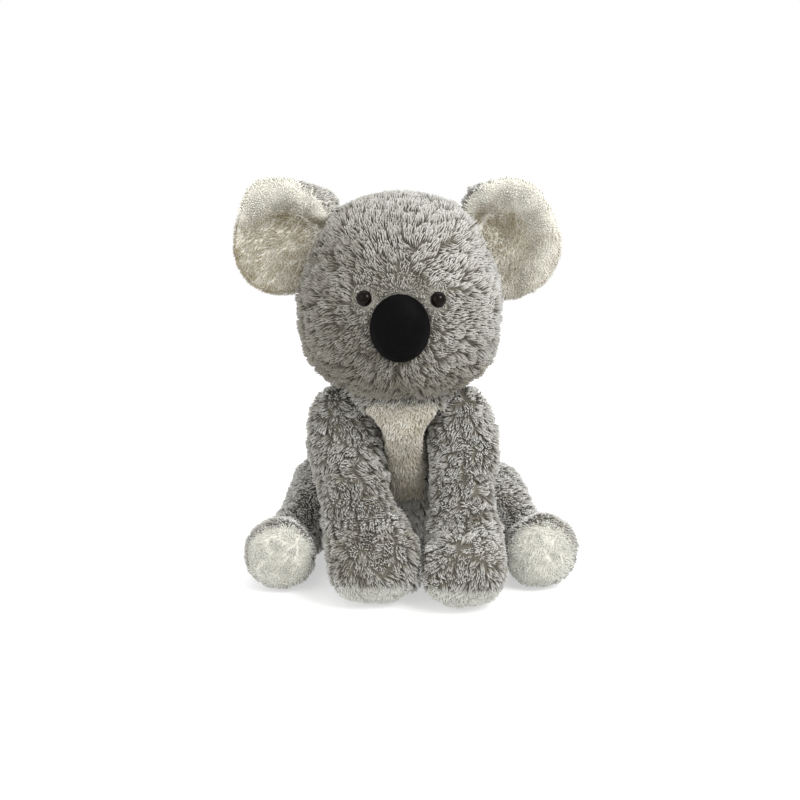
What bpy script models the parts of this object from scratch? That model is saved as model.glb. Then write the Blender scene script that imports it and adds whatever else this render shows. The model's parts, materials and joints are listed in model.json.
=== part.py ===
"""Seated plush koala: plush skins over stuffing, sewn at the neck, ears, shoulders and hips.

Metres, +Z up. The toy faces -Y, and left and right are those of someone looking at its face:
left is -X. Each skin is a closed form with its stuffing hollow cut out of it, and its one
opening is filled by the pale piece that is sewn in there. A larger piece is hollowed where a
smaller one is sewn on, by as much as that piece sweeps when it flexes.
"""

import math

import bmesh
import bpy
import numpy as np
from mathutils import Matrix, Vector

# Cloth, seams and the floor
PLUSH_THICKNESS = 0.005
SATIN_THICKNESS = 0.0012
SEAM_GAP = 0.0004
FLOOR_TRIM = 0.0005
OVERRUN = 0.02

# The whole toy in its frame
PLACE_X = -0.0013
PLACE_Y = 0.0175

# Torso, from the neck joint down to the seat
NECK_HEIGHT = 0.122
NECK_RADIUS = 0.045
NECK_X = -0.002
NECK_Y = -0.010
SEAT_X = 0.003
SEAT_Y = 0.040
TORSO_HALF_WIDTH = 0.056
TORSO_HALF_DEPTH = 0.047
TORSO_END = 0.022

# Head
HEAD_HALF_WIDTH = 0.069
HEAD_HALF_DEPTH = 0.064
HEAD_HALF_HEIGHT = 0.069
HEAD_FORWARD = 0.010
HEAD_LIFT = 0.0045

# Nose
NOSE_HALF_WIDTH = 0.0187
NOSE_HALF_HEIGHT = 0.0216
NOSE_FRONT = 0.0135
NOSE_BACK = 0.004
NOSE_SEAT = 0.0025
NOSE_DROP = 0.002

# Eyes and their washers
EYE_RADIUS = 0.005
EYE_DOME = 0.0045
EYE_SPREAD = 0.024
EYE_RISE = 0.0145
EYE_SEAT = 0.0018
EYE_SHANK_RADIUS = 0.0016
EYE_RIDGE = 0.0003
EYE_RIDGES = 2
EYE_SHANK_LENGTH = 0.0115
WASHER_RADIUS = 0.007
WASHER_THICKNESS = 0.0014
WASHER_COLLAR_RADIUS = 0.0036
WASHER_COLLAR = 0.0016
WASHER_BITE = 0.0012
PART_GAP = 0.0003

# Ears, about the line on which each is sewn to the head
EAR_HALF_LENGTH = 0.040
EAR_HALF_WIDTH = 0.0365
LEFT_EAR_REACH = 0.022
RIGHT_EAR_REACH = 0.018
EAR_HALF_THICKNESS = 0.006
EAR_CUP = 0.009
EAR_SINK = 0.004
EAR_BACK = 0.012
EAR_ANGLE = {"left": math.radians(27.0), "right": math.radians(29.0)}

# Front legs, from the shoulder to the paw
SHOULDER_DROP = 0.018
SHOULDER_SPREAD = 0.040
SHOULDER_FORWARD = 0.012
SHOULDER_RADIUS = 0.0245
PAW_HALF_WIDTH = 0.0285
PAW_HALF_HEIGHT = 0.0285
PAW_END = 0.022
PAW_SETTLE = 0.0005
LEFT_PAW_X = -0.0215
LEFT_PAW_Y = -0.087
RIGHT_PAW_X = 0.0383
RIGHT_PAW_Y = -0.094
PAW_PAD_HEIGHT = 0.008
PAW_PAD_TILT = math.radians(14.0)

# Hind legs, from the hip to the sole
HIP_SPREAD = 0.056
HIP_Y = 0.030
HAUNCH_RADIUS = 0.033
SHIN_RADIUS = 0.0204
FOOT_RADIUS = 0.0265
FOOT_END = 0.010
LEFT_FOOT_X = -0.0844
LEFT_FOOT_Y = -0.066
RIGHT_FOOT_X = 0.0928
RIGHT_FOOT_Y = -0.063
SOLE_DEPTH = 0.0085

# Chest panel, from its top edge to its tip
CHEST_TOP = 0.132
CHEST_TIP = 0.030
CHEST_HALF_WIDTH = 0.028

# How far each sewn joint flexes, in degrees: back or down, then forward or up
EAR_FLEX = (-15.0, 15.0)
SHOULDER_FLEX = (-5.0, 35.0)
HIP_FLEX = (-5.0, 20.0)
# A turn about +X lowers what lies in front of the joint, so a limb's flex is turned round
SHOULDER_TURN = (-SHOULDER_FLEX[0], -SHOULDER_FLEX[1])
HIP_TURN = (-HIP_FLEX[0], -HIP_FLEX[1])

# Facets
BODY_SEGMENTS = 22
LIMB_SEGMENTS = 16
BALL_RINGS = 3
SPAN_RINGS = 2
END_RINGS = 3
HEAD_RINGS = 11
SOCKET_SEGMENTS = 20
SMALL_SEGMENTS = 12
EAR_SEGMENTS = 22
EAR_INNER_RINGS = 2
EAR_EDGE_RINGS = 3
SHARP_EDGE = math.radians(40.0)

# Torso sections: share of the drop from neck to seat, of the way from the neck's to the seat's
# place, of the half width and of the half depth
TORSO_SECTION_SHARES = [
    (0.22, 0.17, 0.80, 0.86),
    (0.48, 0.48, 0.93, 0.96),
    (0.74, 0.84, 1.00, 1.00),
    (1.00, 1.00, 0.86, 0.90),
]
# Front leg sections: share of the way from shoulder to paw across, forward and down, then how
# much of the paw's size the section has
ARM_SECTION_SHARES = [
    (0.30, 0.24, 0.45, 0.15),
    (0.72, 0.60, 0.88, 0.30),
    (1.00, 1.00, 1.00, 1.00),
]
# Hind leg sections: share of the way from hip to foot forward and across, and the radius there
# as a share of the shin's or the foot's
LEG_SECTION_SHARES = [
    (0.34, 0.55, "shin", 1.08),
    (0.66, 0.95, "shin", 1.00),
    (1.00, 1.00, "foot", 1.00),
]
# Chest panel outline: share of its height from the tip, and of its half width
CHEST_OUTLINE_SHARES = [
    (0.03, 0.22),
    (0.14, 0.38),
    (0.45, 0.54),
    (0.74, 0.68),
    (0.92, 1.00),
    (1.00, 0.62),
]
HEAD_LOWER_POWER = 2.45
NOSE_POWER = 2.25

# The same values side by side
SIDES = {"left": -1.0, "right": 1.0}
EAR_REACH = {"left": LEFT_EAR_REACH, "right": RIGHT_EAR_REACH}
PAW_X = {"left": LEFT_PAW_X, "right": RIGHT_PAW_X}
PAW_Y = {"left": LEFT_PAW_Y, "right": RIGHT_PAW_Y}
FOOT_X = {"left": LEFT_FOOT_X, "right": RIGHT_FOOT_X}
FOOT_Y = {"left": LEFT_FOOT_Y, "right": RIGHT_FOOT_Y}

ROOT = None


def clear_scene():
    for item in list(bpy.data.objects):
        bpy.data.objects.remove(item, do_unlink=True)


# Forms: a first pole, rings of points and a last pole


def ring(centre, side, up, half_side, half_up, segments):
    turns = np.linspace(0.0, 2.0 * math.pi, segments, endpoint=False)
    across = np.outer(np.cos(turns), side) * half_side
    along = np.outer(np.sin(turns), up) * half_up
    return centre + across + along


def smooth_between(values, spans):
    """Rows of values with further rows between them, on a curve through them all."""
    rows = [values[0]]
    last = len(values) - 1
    for index in range(last):
        before = values[max(index - 1, 0)]
        start, end = values[index], values[index + 1]
        after = values[min(index + 2, last)]
        for step in range(1, spans + 1):
            t = step / spans
            rows.append(
                0.5
                * (
                    2.0 * start
                    + (end - before) * t
                    + (2.0 * before - 5.0 * start + 4.0 * end - after) * t**2
                    + (3.0 * start - 3.0 * end + after - before) * t**3
                )
            )
    return rows


def limb_form(sections, end_length, segments):
    """A ball end about the first section's centre, a body through the sections and a round end.

    A section is its centre and its two half sizes. The first has both half sizes alike.
    """
    rows = smooth_between([np.array([*c, a, b]) for c, a, b in sections], SPAN_RINGS)
    centres = [row[:3] for row in rows]
    ways = []
    for index in range(len(centres)):
        way = centres[min(index + 1, len(centres) - 1)] - centres[max(index - 1, 0)]
        ways.append(way / np.linalg.norm(way))
    across = np.array([1.0, 0.0, 0.0])
    rings = []

    def add(centre, way, half_side, half_up):
        side = across - across.dot(way) * way
        side /= np.linalg.norm(side)
        up = np.cross(way, side)
        rings.append(ring(centre, side, up, half_side, half_up, segments))

    radius = rows[0][3]
    for step in range(BALL_RINGS):
        angle = math.pi / 2.0 * (1.0 - (step + 1) / (BALL_RINGS + 1))
        size = radius * math.cos(angle)
        add(centres[0] - ways[0] * radius * math.sin(angle), ways[0], size, size)
    for centre, way, row in zip(centres, ways, rows):
        add(centre, way, row[3], row[4])
    for step in range(1, END_RINGS):
        angle = math.pi / 2.0 * step / END_RINGS
        place = centres[-1] + ways[-1] * end_length * math.sin(angle)
        add(place, ways[-1], rows[-1][3] * math.cos(angle), rows[-1][4] * math.cos(angle))
    first = centres[0] - ways[0] * radius
    last = centres[-1] + ways[-1] * end_length
    return first, np.array(rings), last


def moved_in(form, inset):
    """The form with its surface moved in by inset, or out where inset is negative."""
    first, rings, last = form
    rows = np.concatenate([
        np.repeat(first[None, None], rings.shape[1], axis=1),
        rings,
        np.repeat(last[None, None], rings.shape[1], axis=1),
    ])
    along = rows[2:] - rows[:-2]
    around = np.roll(rings, -1, axis=1) - np.roll(rings, 1, axis=1)
    normals = np.cross(around, along)
    normals /= np.linalg.norm(normals, axis=2, keepdims=True)
    middle = rings.mean(axis=(0, 1))
    if ((rings - middle) * normals).sum() < 0.0:
        normals = -normals
    ends = []
    for pole, row in ((first, rings[0]), (last, rings[-1])):
        way = pole - row.mean(axis=0)
        ends.append(pole - way / np.linalg.norm(way) * inset)
    return ends[0], rings - normals * inset, ends[1]


def form_points(form):
    first, rings, last = form
    return [Vector(p) for p in [first, *rings.reshape(-1, 3), last]]


def form_mesh(name, form):
    first, rings, last = form
    count, segments = rings.shape[:2]
    work = bmesh.new()
    start = work.verts.new(first)
    rows = [[work.verts.new(point) for point in row] for row in rings]
    end = work.verts.new(last)
    for index in range(segments):
        after = (index + 1) % segments
        work.faces.new((start, rows[0][after], rows[0][index]))
        for row in range(count - 1):
            near, far = rows[row], rows[row + 1]
            work.faces.new((near[index], near[after], far[after]))
            work.faces.new((near[index], far[after], far[index]))
        work.faces.new((end, rows[-1][index], rows[-1][after]))
    return finished_mesh(name, work)


def finished_mesh(name, work):
    bmesh.ops.recalc_face_normals(work, faces=work.faces)
    mesh = bpy.data.meshes.new(name)
    work.to_mesh(mesh)
    work.free()
    mesh.shade_smooth()
    return mesh


# Objects, materials and cuts


def material(name, colour, roughness):
    made = bpy.data.materials.new(name)
    made.use_nodes = True
    shader = made.node_tree.nodes["Principled BSDF"]
    shader.inputs["Base Color"].default_value = (*colour, 1.0)
    shader.inputs["Roughness"].default_value = roughness
    shader.inputs["Metallic"].default_value = 0.0
    made.diffuse_color = (*colour, 1.0)
    return made


def grey_plush(name):
    return material(name, (0.30, 0.29, 0.27), 0.95)


def cream_plush(name):
    return material(name, (0.66, 0.64, 0.54), 0.95)


def black_satin(name):
    return material(name, (0.012, 0.012, 0.013), 0.55)


def dark_gloss(name):
    return material(name, (0.015, 0.010, 0.008), 0.08)


def white_plastic(name):
    return material(name, (0.75, 0.75, 0.73), 0.5)


def fibre_filling(name):
    return material(name, (0.85, 0.85, 0.83), 1.0)


def placed(name, mesh, parent, finish=None):
    made = bpy.data.objects.new(name, mesh)
    bpy.context.scene.collection.objects.link(made)
    hold(made, parent)
    if finish:
        mesh.materials.append(finish(name))
    else:
        made.hide_render = True
        made.display_type = "WIRE"
    return made


def hold(made, parent):
    """Hang a mesh on an empty, with its points still given in the toy's own frame."""
    made.parent = parent
    made.matrix_parent_inverse = Matrix.Translation(-place_of(parent))


def place_of(empty):
    """The place of an empty in the toy's own frame."""
    place = Vector()
    while empty is not ROOT:
        place += empty.location
        empty = empty.parent
    return place


def joint_empty(name, point, parent=None):
    made = bpy.data.objects.new(name, None)
    made.empty_display_size = SHOULDER_RADIUS
    bpy.context.scene.collection.objects.link(made)
    made.location = Vector(point)
    if parent:
        made.location -= place_of(parent)
        made.parent = parent
    return made


def boolean(target, other, operation):
    cut = target.modifiers.new(other.name, "BOOLEAN")
    cut.operation = operation
    cut.object = other
    cut.solver = "EXACT"


def cut_by(target, *cutters):
    for cutter in cutters:
        boolean(target, cutter, "DIFFERENCE")


# Cutters


def hull_cutter(name, points, parent):
    work = bmesh.new()
    for point in points:
        work.verts.new(point)
    made = bmesh.ops.convex_hull(work, input=work.verts)
    spare = {v for v in made["geom_interior"] if isinstance(v, bmesh.types.BMVert)}
    spare |= {v for v in made["geom_unused"] if isinstance(v, bmesh.types.BMVert)}
    bmesh.ops.delete(work, geom=list(spare), context="VERTS")
    return placed(name, finished_mesh(name, work), parent)


def turned_points(points, pivot, axis, degrees):
    turn = Matrix.Rotation(math.radians(degrees), 4, axis)
    about = Matrix.Translation(pivot) @ turn @ Matrix.Translation(pivot).inverted()
    return [about @ point for point in points]


def swept_cutter(name, points, pivot, axis, flex, parent):
    """The room that the points take over the whole flex, with no hollows."""
    swept = []
    for degrees in (flex[0], (flex[0] + flex[1]) / 2.0, flex[1]):
        swept += turned_points(points, pivot, axis, degrees)
    return hull_cutter(name, swept, parent)


def ball_cutter(name, centre, radius, parent):
    """A ball whose flat facets, not its corners, lie at the radius."""
    work = bmesh.new()
    facet_share = math.cos(math.pi / SOCKET_SEGMENTS) ** 2
    bmesh.ops.create_uvsphere(
        work,
        u_segments=SOCKET_SEGMENTS,
        v_segments=SOCKET_SEGMENTS // 2,
        radius=radius / facet_share,
        matrix=Matrix.Translation(centre),
    )
    return placed(name, finished_mesh(name, work), parent)


def box_cutter(name, matrix, half_x, half_y, top, bottom, parent):
    """A box in its own frame, from bottom to top along its Z."""
    work = bmesh.new()
    scale = Matrix.Diagonal((2.0 * half_x, 2.0 * half_y, top - bottom, 1.0))
    middle = Matrix.Translation((0.0, 0.0, (top + bottom) / 2.0))
    bmesh.ops.create_cube(work, size=1.0, matrix=matrix @ middle @ scale)
    return placed(name, finished_mesh(name, work), parent)


def turned_mesh(name, profile, matrix, segments):
    """A profile of (radius, height) turned about Z, closed where it meets the axis."""
    rings = []
    for radius, height in profile[1:-1]:
        rings.append(ring(
            np.array([0.0, 0.0, height]),
            np.array([1.0, 0.0, 0.0]),
            np.array([0.0, 1.0, 0.0]),
            radius,
            radius,
            segments,
        ))
    first = np.array([0.0, 0.0, profile[0][1]])
    last = np.array([0.0, 0.0, profile[-1][1]])
    mesh = form_mesh(name, (first, np.array(rings), last))
    mesh.transform(matrix)
    mesh.set_sharp_from_angle(angle=SHARP_EDGE)
    return mesh


def floor_cutter():
    return box_cutter(
        "floor_cutter",
        Matrix.Identity(4),
        2.0 * HEAD_HALF_WIDTH + OVERRUN,
        2.0 * HEAD_HALF_WIDTH + OVERRUN,
        0.0,
        -OVERRUN,
        ROOT,
    )


# Places


def neck_point():
    return np.array([NECK_X, NECK_Y, NECK_HEIGHT])


def head_centre():
    lift = HEAD_LIFT + HEAD_HALF_HEIGHT
    return neck_point() + np.array([0.0, -HEAD_FORWARD, lift])


def shoulder_point(side):
    spread = SIDES[side] * SHOULDER_SPREAD
    return neck_point() + np.array([spread, -SHOULDER_FORWARD, -SHOULDER_DROP])


def hip_point(side):
    return np.array([
        SEAT_X + SIDES[side] * HIP_SPREAD,
        HIP_Y,
        HAUNCH_RADIUS - FLOOR_TRIM,
    ])


def foot_point(side):
    return np.array([FOOT_X[side], FOOT_Y[side], FOOT_RADIUS - FLOOR_TRIM])


def ear_frame(side):
    """The root line's middle, then the ways along the root, out of the head and forward."""
    angle = EAR_ANGLE[side]
    out = np.array([SIDES[side] * math.cos(angle), 0.0, math.sin(angle)])
    along = np.array([-SIDES[side] * math.sin(angle), 0.0, math.cos(angle)])
    forward = np.array([0.0, -1.0, 0.0])
    depth_share = math.sqrt(1.0 - (EAR_BACK / HEAD_HALF_DEPTH) ** 2)
    reach = depth_share / math.hypot(
        math.cos(angle) / HEAD_HALF_WIDTH, math.sin(angle) / HEAD_HALF_HEIGHT
    )
    root = head_centre() - forward * EAR_BACK + out * (reach - EAR_SINK)
    return root, along, out, forward


def on_face(across, rise):
    """The matrix whose origin lies on the head's front and whose Z points out of it."""
    x_share = across / HEAD_HALF_WIDTH
    z_share = rise / HEAD_HALF_HEIGHT
    y_share = -math.sqrt(1.0 - x_share**2 - z_share**2)
    offset = Vector((across, y_share * HEAD_HALF_DEPTH, rise))
    normal = Vector((
        x_share / HEAD_HALF_WIDTH,
        y_share / HEAD_HALF_DEPTH,
        z_share / HEAD_HALF_HEIGHT,
    ))
    turn = normal.normalized().to_track_quat("Z", "Y").to_matrix().to_4x4()
    return Matrix.Translation(Vector(head_centre()) + offset) @ turn


# Forms of the body


def torso_form():
    neck = neck_point()
    seat = np.array([SEAT_X, SEAT_Y, TORSO_END - FLOOR_TRIM])
    sections = [(neck, NECK_RADIUS, NECK_RADIUS)]
    for drop, way, width, depth in TORSO_SECTION_SHARES:
        place = neck + (seat - neck) * np.array([way, way, drop])
        sections.append((place, TORSO_HALF_WIDTH * width, TORSO_HALF_DEPTH * depth))
    return limb_form(sections, TORSO_END, BODY_SEGMENTS)


def head_form():
    centre = head_centre()
    rings = []
    for step in range(1, HEAD_RINGS + 1):
        angle = math.pi * step / (HEAD_RINGS + 1)
        power = 2.0 if angle <= math.pi / 2.0 else HEAD_LOWER_POWER
        height = math.copysign(abs(math.cos(angle)) ** (2.0 / power), math.cos(angle))
        size = math.sin(angle) ** (2.0 / power)
        rings.append(ring(
            centre + np.array([0.0, 0.0, HEAD_HALF_HEIGHT * height]),
            np.array([1.0, 0.0, 0.0]),
            np.array([0.0, 1.0, 0.0]),
            HEAD_HALF_WIDTH * size,
            HEAD_HALF_DEPTH * size,
            BODY_SEGMENTS,
        ))
    pole = np.array([0.0, 0.0, HEAD_HALF_HEIGHT])
    return centre + pole, np.array(rings), centre - pole


def arm_form(side):
    shoulder = shoulder_point(side)
    rise = PAW_HALF_HEIGHT - FLOOR_TRIM - PAW_SETTLE
    paw = np.array([PAW_X[side], PAW_Y[side], rise])
    sections = [(shoulder, SHOULDER_RADIUS, SHOULDER_RADIUS)]
    for across, forward, down, size in ARM_SECTION_SHARES:
        place = shoulder + (paw - shoulder) * np.array([across, forward, down])
        sections.append((
            place,
            SHOULDER_RADIUS + (PAW_HALF_WIDTH - SHOULDER_RADIUS) * size,
            SHOULDER_RADIUS + (PAW_HALF_HEIGHT - SHOULDER_RADIUS) * size,
        ))
    return limb_form(sections, PAW_END, LIMB_SEGMENTS)


def leg_form(side):
    hip, foot = hip_point(side), foot_point(side)
    radii = {"shin": SHIN_RADIUS, "foot": FOOT_RADIUS}
    sections = [(hip, HAUNCH_RADIUS, HAUNCH_RADIUS)]
    for forward, across, which, share in LEG_SECTION_SHARES:
        radius = radii[which] * share
        place = hip + (foot - hip) * np.array([across, forward, 1.0])
        place[2] = radius - FLOOR_TRIM
        sections.append((place, radius, radius))
    return limb_form(sections, FOOT_END, LIMB_SEGMENTS)


def nose_form(inset):
    """An oval pad: a deep front and a shallow back, on the face's foremost point."""
    seat = on_face(0.0, -NOSE_DROP).translation
    rings = []
    for step in range(1, 2 * END_RINGS + 2):
        angle = math.pi * step / (2 * END_RINGS + 2)
        depth = NOSE_FRONT if angle < math.pi / 2.0 else NOSE_BACK
        forward = (depth - inset) * math.cos(angle)
        size = math.sin(angle) ** (2.0 / NOSE_POWER)
        rings.append(ring(
            np.array([seat.x, seat.y + NOSE_SEAT - forward, seat.z]),
            np.array([1.0, 0.0, 0.0]),
            np.array([0.0, 0.0, 1.0]),
            (NOSE_HALF_WIDTH - inset) * size,
            (NOSE_HALF_HEIGHT - inset) * size,
            BODY_SEGMENTS,
        ))
    front = np.array([seat.x, seat.y + NOSE_SEAT - NOSE_FRONT + inset, seat.z])
    back = np.array([seat.x, seat.y + NOSE_SEAT + NOSE_BACK - inset, seat.z])
    return front, np.array(rings), back


# Pieces made alike


def stuffing_hollow(name, form, sockets, joint):
    """The stuffing hollow of a skin, cut back round each socket by the skin's thickness."""
    hollow = placed(
        name + "_hollow",
        form_mesh(name + "_hollow", moved_in(form, PLUSH_THICKNESS)),
        joint,
    )
    cut_by(hollow, *sockets(PLUSH_THICKNESS, name + "_hollow"))
    return hollow


def skin(name, form, sockets, opening, joint, finish, floor=None):
    """The plush shell of a form, with its sockets, its hollow and its opening cut.

    It gives back the hollow, which also shapes the piece that is sewn into the opening.
    """
    made = placed(name, form_mesh(name, form), joint, finish)
    if floor:
        cut_by(made, floor)
    cut_by(made, *sockets(0.0, name))
    hollow = stuffing_hollow(name, form, sockets, joint)
    cut_by(made, hollow, *opening)
    return hollow


def sewn_in(name, form, sockets, hollow, opening, joint, finish, floor=None):
    """The piece that fills a skin's opening: the same shell, kept only in the opening."""
    made = placed(name, form_mesh(name, form), joint, finish)
    if floor:
        cut_by(made, floor)
    cut_by(made, *sockets(0.0, name), hollow)
    boolean(made, opening, "INTERSECT")
    return made


def filling(name, form, sockets, joint, pockets=()):
    inset = PLUSH_THICKNESS + SEAM_GAP
    made = placed(name, form_mesh(name, moved_in(form, inset)), joint, fibre_filling)
    cut_by(made, *sockets(inset, name), *pockets)
    return made


def no_sockets(grow, name):
    return []


# Torso


def limb_sockets(limbs):
    """Hollows in the torso for the limbs sewn to it, each as large as its limb's sweep."""

    def sockets(grow, name):
        made = []
        for limb, form, pivot, flex in limbs:
            points = form_points(moved_in(form, -(SEAM_GAP + grow)))
            made.append(swept_cutter(
                name + "_" + limb + "_socket", points, Vector(pivot), "X", flex, ROOT
            ))
        return made

    return sockets


def chest_cutter(name, grow):
    """The chest panel's outline, drawn from the front and pushed back into the torso."""
    height = CHEST_TOP - CHEST_TIP
    outline = [(0.0, CHEST_TIP - grow)]
    for up, width in CHEST_OUTLINE_SHARES:
        outline.append((CHEST_HALF_WIDTH * width + grow, CHEST_TIP + height * up))
    outline.append((0.0, CHEST_TOP + grow))
    for across, up in outline[-2:0:-1]:
        outline.append((-across, up))
    work = bmesh.new()
    front = NECK_Y - NECK_RADIUS - OVERRUN
    face = work.faces.new([work.verts.new((x, front, z)) for x, z in outline])
    made = bmesh.ops.extrude_face_region(work, geom=[face])
    moved = [v for v in made["geom"] if isinstance(v, bmesh.types.BMVert)]
    bmesh.ops.translate(work, verts=moved, vec=(0.0, NECK_Y + 2.0 * PLUSH_THICKNESS - front, 0.0))
    bmesh.ops.triangulate(work, faces=work.faces)
    return placed(name, finished_mesh(name, work), ROOT)


def make_torso(floor, arms, legs):
    limbs = []
    for side in SIDES:
        limbs.append((side + "_arm", arms[side], shoulder_point(side), SHOULDER_TURN))
        limbs.append((side + "_leg", legs[side], hip_point(side), HIP_TURN))
    sockets = limb_sockets(limbs)
    form = torso_form()
    opening = chest_cutter("chest_opening_cutter", SEAM_GAP)
    panel = chest_cutter("chest_panel_cutter", 0.0)
    hollow = skin("torso_skin", form, sockets, [opening], ROOT, grey_plush, floor)
    sewn_in("chest_panel", form, sockets, hollow, panel, ROOT, cream_plush, floor)
    filling("torso_filling", form, sockets, ROOT)


# Front legs


def pad_cutter(side, name, grow, joint):
    """The room under a tilted plane through the paw, where the pad is sewn in."""
    middle = Matrix.Translation((PAW_X[side], PAW_Y[side], PAW_PAD_HEIGHT))
    tilt = Matrix.Rotation(-PAW_PAD_TILT, 4, "X")
    reach = 2.0 * PAW_HALF_WIDTH
    return box_cutter(name, middle @ tilt, reach, reach, grow, -OVERRUN, joint)


def make_arm(side, form, floor):
    joint = joint_empty(side + "_shoulder_joint", shoulder_point(side), ROOT)
    name = side + "_arm"
    opening = pad_cutter(side, name + "_opening_cutter", SEAM_GAP, joint)
    pad = pad_cutter(side, name + "_pad_cutter", 0.0, joint)
    hollow = skin(
        name + "_skin", form, no_sockets, [opening], joint, grey_plush, floor
    )
    sewn_in(
        side + "_paw_pad", form, no_sockets, hollow, pad, joint, cream_plush, floor
    )
    filling(name + "_filling", form, no_sockets, joint)


# Hind legs


def sole_cutter(side, name, grow, joint):
    """The room in front of the plane on which the sole is sewn to the foot."""
    foot = Vector(foot_point(side))
    way = (foot - Vector(hip_point(side))).normalized()
    start = foot + way * (FOOT_END - SOLE_DEPTH)
    turn = way.to_track_quat("Z", "Y").to_matrix().to_4x4()
    reach = 2.0 * FOOT_RADIUS
    frame = Matrix.Translation(start) @ turn
    return box_cutter(name, frame, reach, reach, OVERRUN, -grow, joint)


def make_leg(side, form, floor):
    joint = joint_empty(side + "_hip_joint", hip_point(side), ROOT)
    name = side + "_leg"
    opening = sole_cutter(side, name + "_opening_cutter", SEAM_GAP, joint)
    sole = sole_cutter(side, name + "_sole_cutter", 0.0, joint)
    hollow = skin(
        name + "_skin", form, no_sockets, [opening], joint, grey_plush, floor
    )
    sewn_in(side + "_sole", form, no_sockets, hollow, sole, joint, cream_plush, floor)
    filling(name + "_filling", form, no_sockets, joint)


# Ears


def ear_outline(turn, reach):
    """The line that the ear's round edge runs about, and the way out from it, in the ear's
    plane: along the root, then out of the head. It is an oval with its root side cut off."""
    half_length = EAR_HALF_LENGTH - EAR_HALF_THICKNESS
    half_width = EAR_HALF_WIDTH - EAR_HALF_THICKNESS
    way = np.array([math.cos(turn), math.sin(turn)])
    size = 1.0 / math.hypot(way[0] / half_length, way[1] / half_width)
    out = np.array([way[0] / half_length**2, way[1] / half_width**2])
    if way[1] < 0.0 and -way[1] * size >= reach:
        size = reach / -way[1]
        out = np.array([0.0, -1.0])
    return np.array([0.0, reach]) + way * size, out / np.linalg.norm(out)


def ear_point(frame, reach, flat, raised):
    """A point of the ear, with the rim curled forward away from the root."""
    root, along, out, forward = frame
    offset = flat - np.array([0.0, reach])
    radius = math.hypot(offset[0] / EAR_HALF_LENGTH, offset[1] / EAR_HALF_WIDTH)
    free = min(max((flat[1] - EAR_SINK) / reach, 0.0), 1.0)
    cup = EAR_CUP * radius**2 * free**2 * (3.0 - 2.0 * free)
    return root + along * flat[0] + out * flat[1] + forward * (raised + cup)


def ear_half(side, facing):
    """The front (facing 1) or back (facing -1) half of the ear, split at its middle."""
    frame, reach = ear_frame(side), EAR_REACH[side]
    middle = np.array([0.0, reach])
    turns = np.linspace(0.0, 2.0 * math.pi, EAR_SEGMENTS, endpoint=False)
    outlines = [ear_outline(turn, reach) for turn in turns]
    rings = []

    def add(share, edge_angle, rise):
        beyond = EAR_HALF_THICKNESS * math.sin(edge_angle)
        rings.append([
            ear_point(
                frame,
                reach,
                middle + (edge - middle) * share + out * beyond,
                facing * max(rise, SEAM_GAP / 2.0),
            )
            for edge, out in outlines
        ])

    for step in range(1, EAR_INNER_RINGS + 1):
        add(step / EAR_INNER_RINGS, 0.0, EAR_HALF_THICKNESS)
    for step in range(1, EAR_EDGE_RINGS + 1):
        angle = math.pi / 2.0 * step / EAR_EDGE_RINGS
        add(1.0, angle, EAR_HALF_THICKNESS * math.cos(angle))
    for step in range(EAR_INNER_RINGS, 0, -1):
        add(step / EAR_INNER_RINGS, 0.0, 0.0)
    first = ear_point(frame, reach, middle, facing * EAR_HALF_THICKNESS)
    last = ear_point(frame, reach, middle, facing * SEAM_GAP / 2.0)
    return first, np.array(rings), last


def ear_sockets(grow, name):
    """Grooves in the head for the ears' round root edges, open as far as the ears fold."""
    made = []
    for side in SIDES:
        root, along, out, forward = ear_frame(side)
        radius = EAR_HALF_THICKNESS + SEAM_GAP + grow
        length = EAR_HALF_LENGTH + SEAM_GAP + grow
        reach = EAR_REACH[side]
        section = [(reach, -radius), (reach, radius)]
        facet_share = math.cos(math.pi / SOCKET_SEGMENTS)
        for step in range(SOCKET_SEGMENTS // 2 + 1):
            angle = math.pi * step / (SOCKET_SEGMENTS // 2)
            section.append((
                -radius / facet_share * math.sin(angle),
                radius / facet_share * math.cos(angle),
            ))
        points = []
        for end in (-length, length):
            for outward, rise in section:
                points.append(Vector(root + along * end + out * outward + forward * rise))
        made.append(swept_cutter(
            name + "_" + side + "_ear_groove",
            points,
            Vector(root),
            Vector(along),
            EAR_FLEX,
            ROOT,
        ))
    return made


def make_ear(side, neck_joint):
    joint = joint_empty(side + "_ear_joint", ear_frame(side)[0], neck_joint)
    for name, facing, finish in (
        (side + "_ear_lining", 1.0, cream_plush),
        (side + "_ear_back", -1.0, grey_plush),
    ):
        placed(name, form_mesh(name, ear_half(side, facing)), joint, finish)


# Head


def head_sockets(grow, name):
    """The head's walled hollows: the ears' grooves and the nose's seat."""
    nose = form_mesh(name + "_nose_seat", nose_form(-(SEAM_GAP + grow)))
    return [placed(name + "_nose_seat", nose, ROOT), *ear_sockets(grow, name)]


def eye_cutters(joint):
    """Each eye's seat and shank hole through the skin, and its washer's pocket behind."""
    made = []
    seat_radius = EYE_RADIUS + PART_GAP
    hole_radius = EYE_SHANK_RADIUS + EYE_RIDGE + PART_GAP
    pocket_radius = WASHER_RADIUS + PART_GAP
    top = washer_level() + PART_GAP
    washer_end = washer_level() - WASHER_THICKNESS - WASHER_COLLAR
    bottom = min(washer_end, shank_tip_level()) - PART_GAP
    for side in SIDES:
        profile = [
            (0.0, OVERRUN),
            (seat_radius, OVERRUN),
            (seat_radius, -EYE_SEAT),
            (hole_radius, -EYE_SEAT),
            (hole_radius, top),
            (pocket_radius, top),
            (pocket_radius, bottom),
            (0.0, bottom),
        ]
        frame = on_face(SIDES[side] * EYE_SPREAD, EYE_RISE)
        name = side + "_eye_cutter"
        made.append(placed(name, turned_mesh(name, profile, frame, SMALL_SEGMENTS), joint))
    return made


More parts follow.
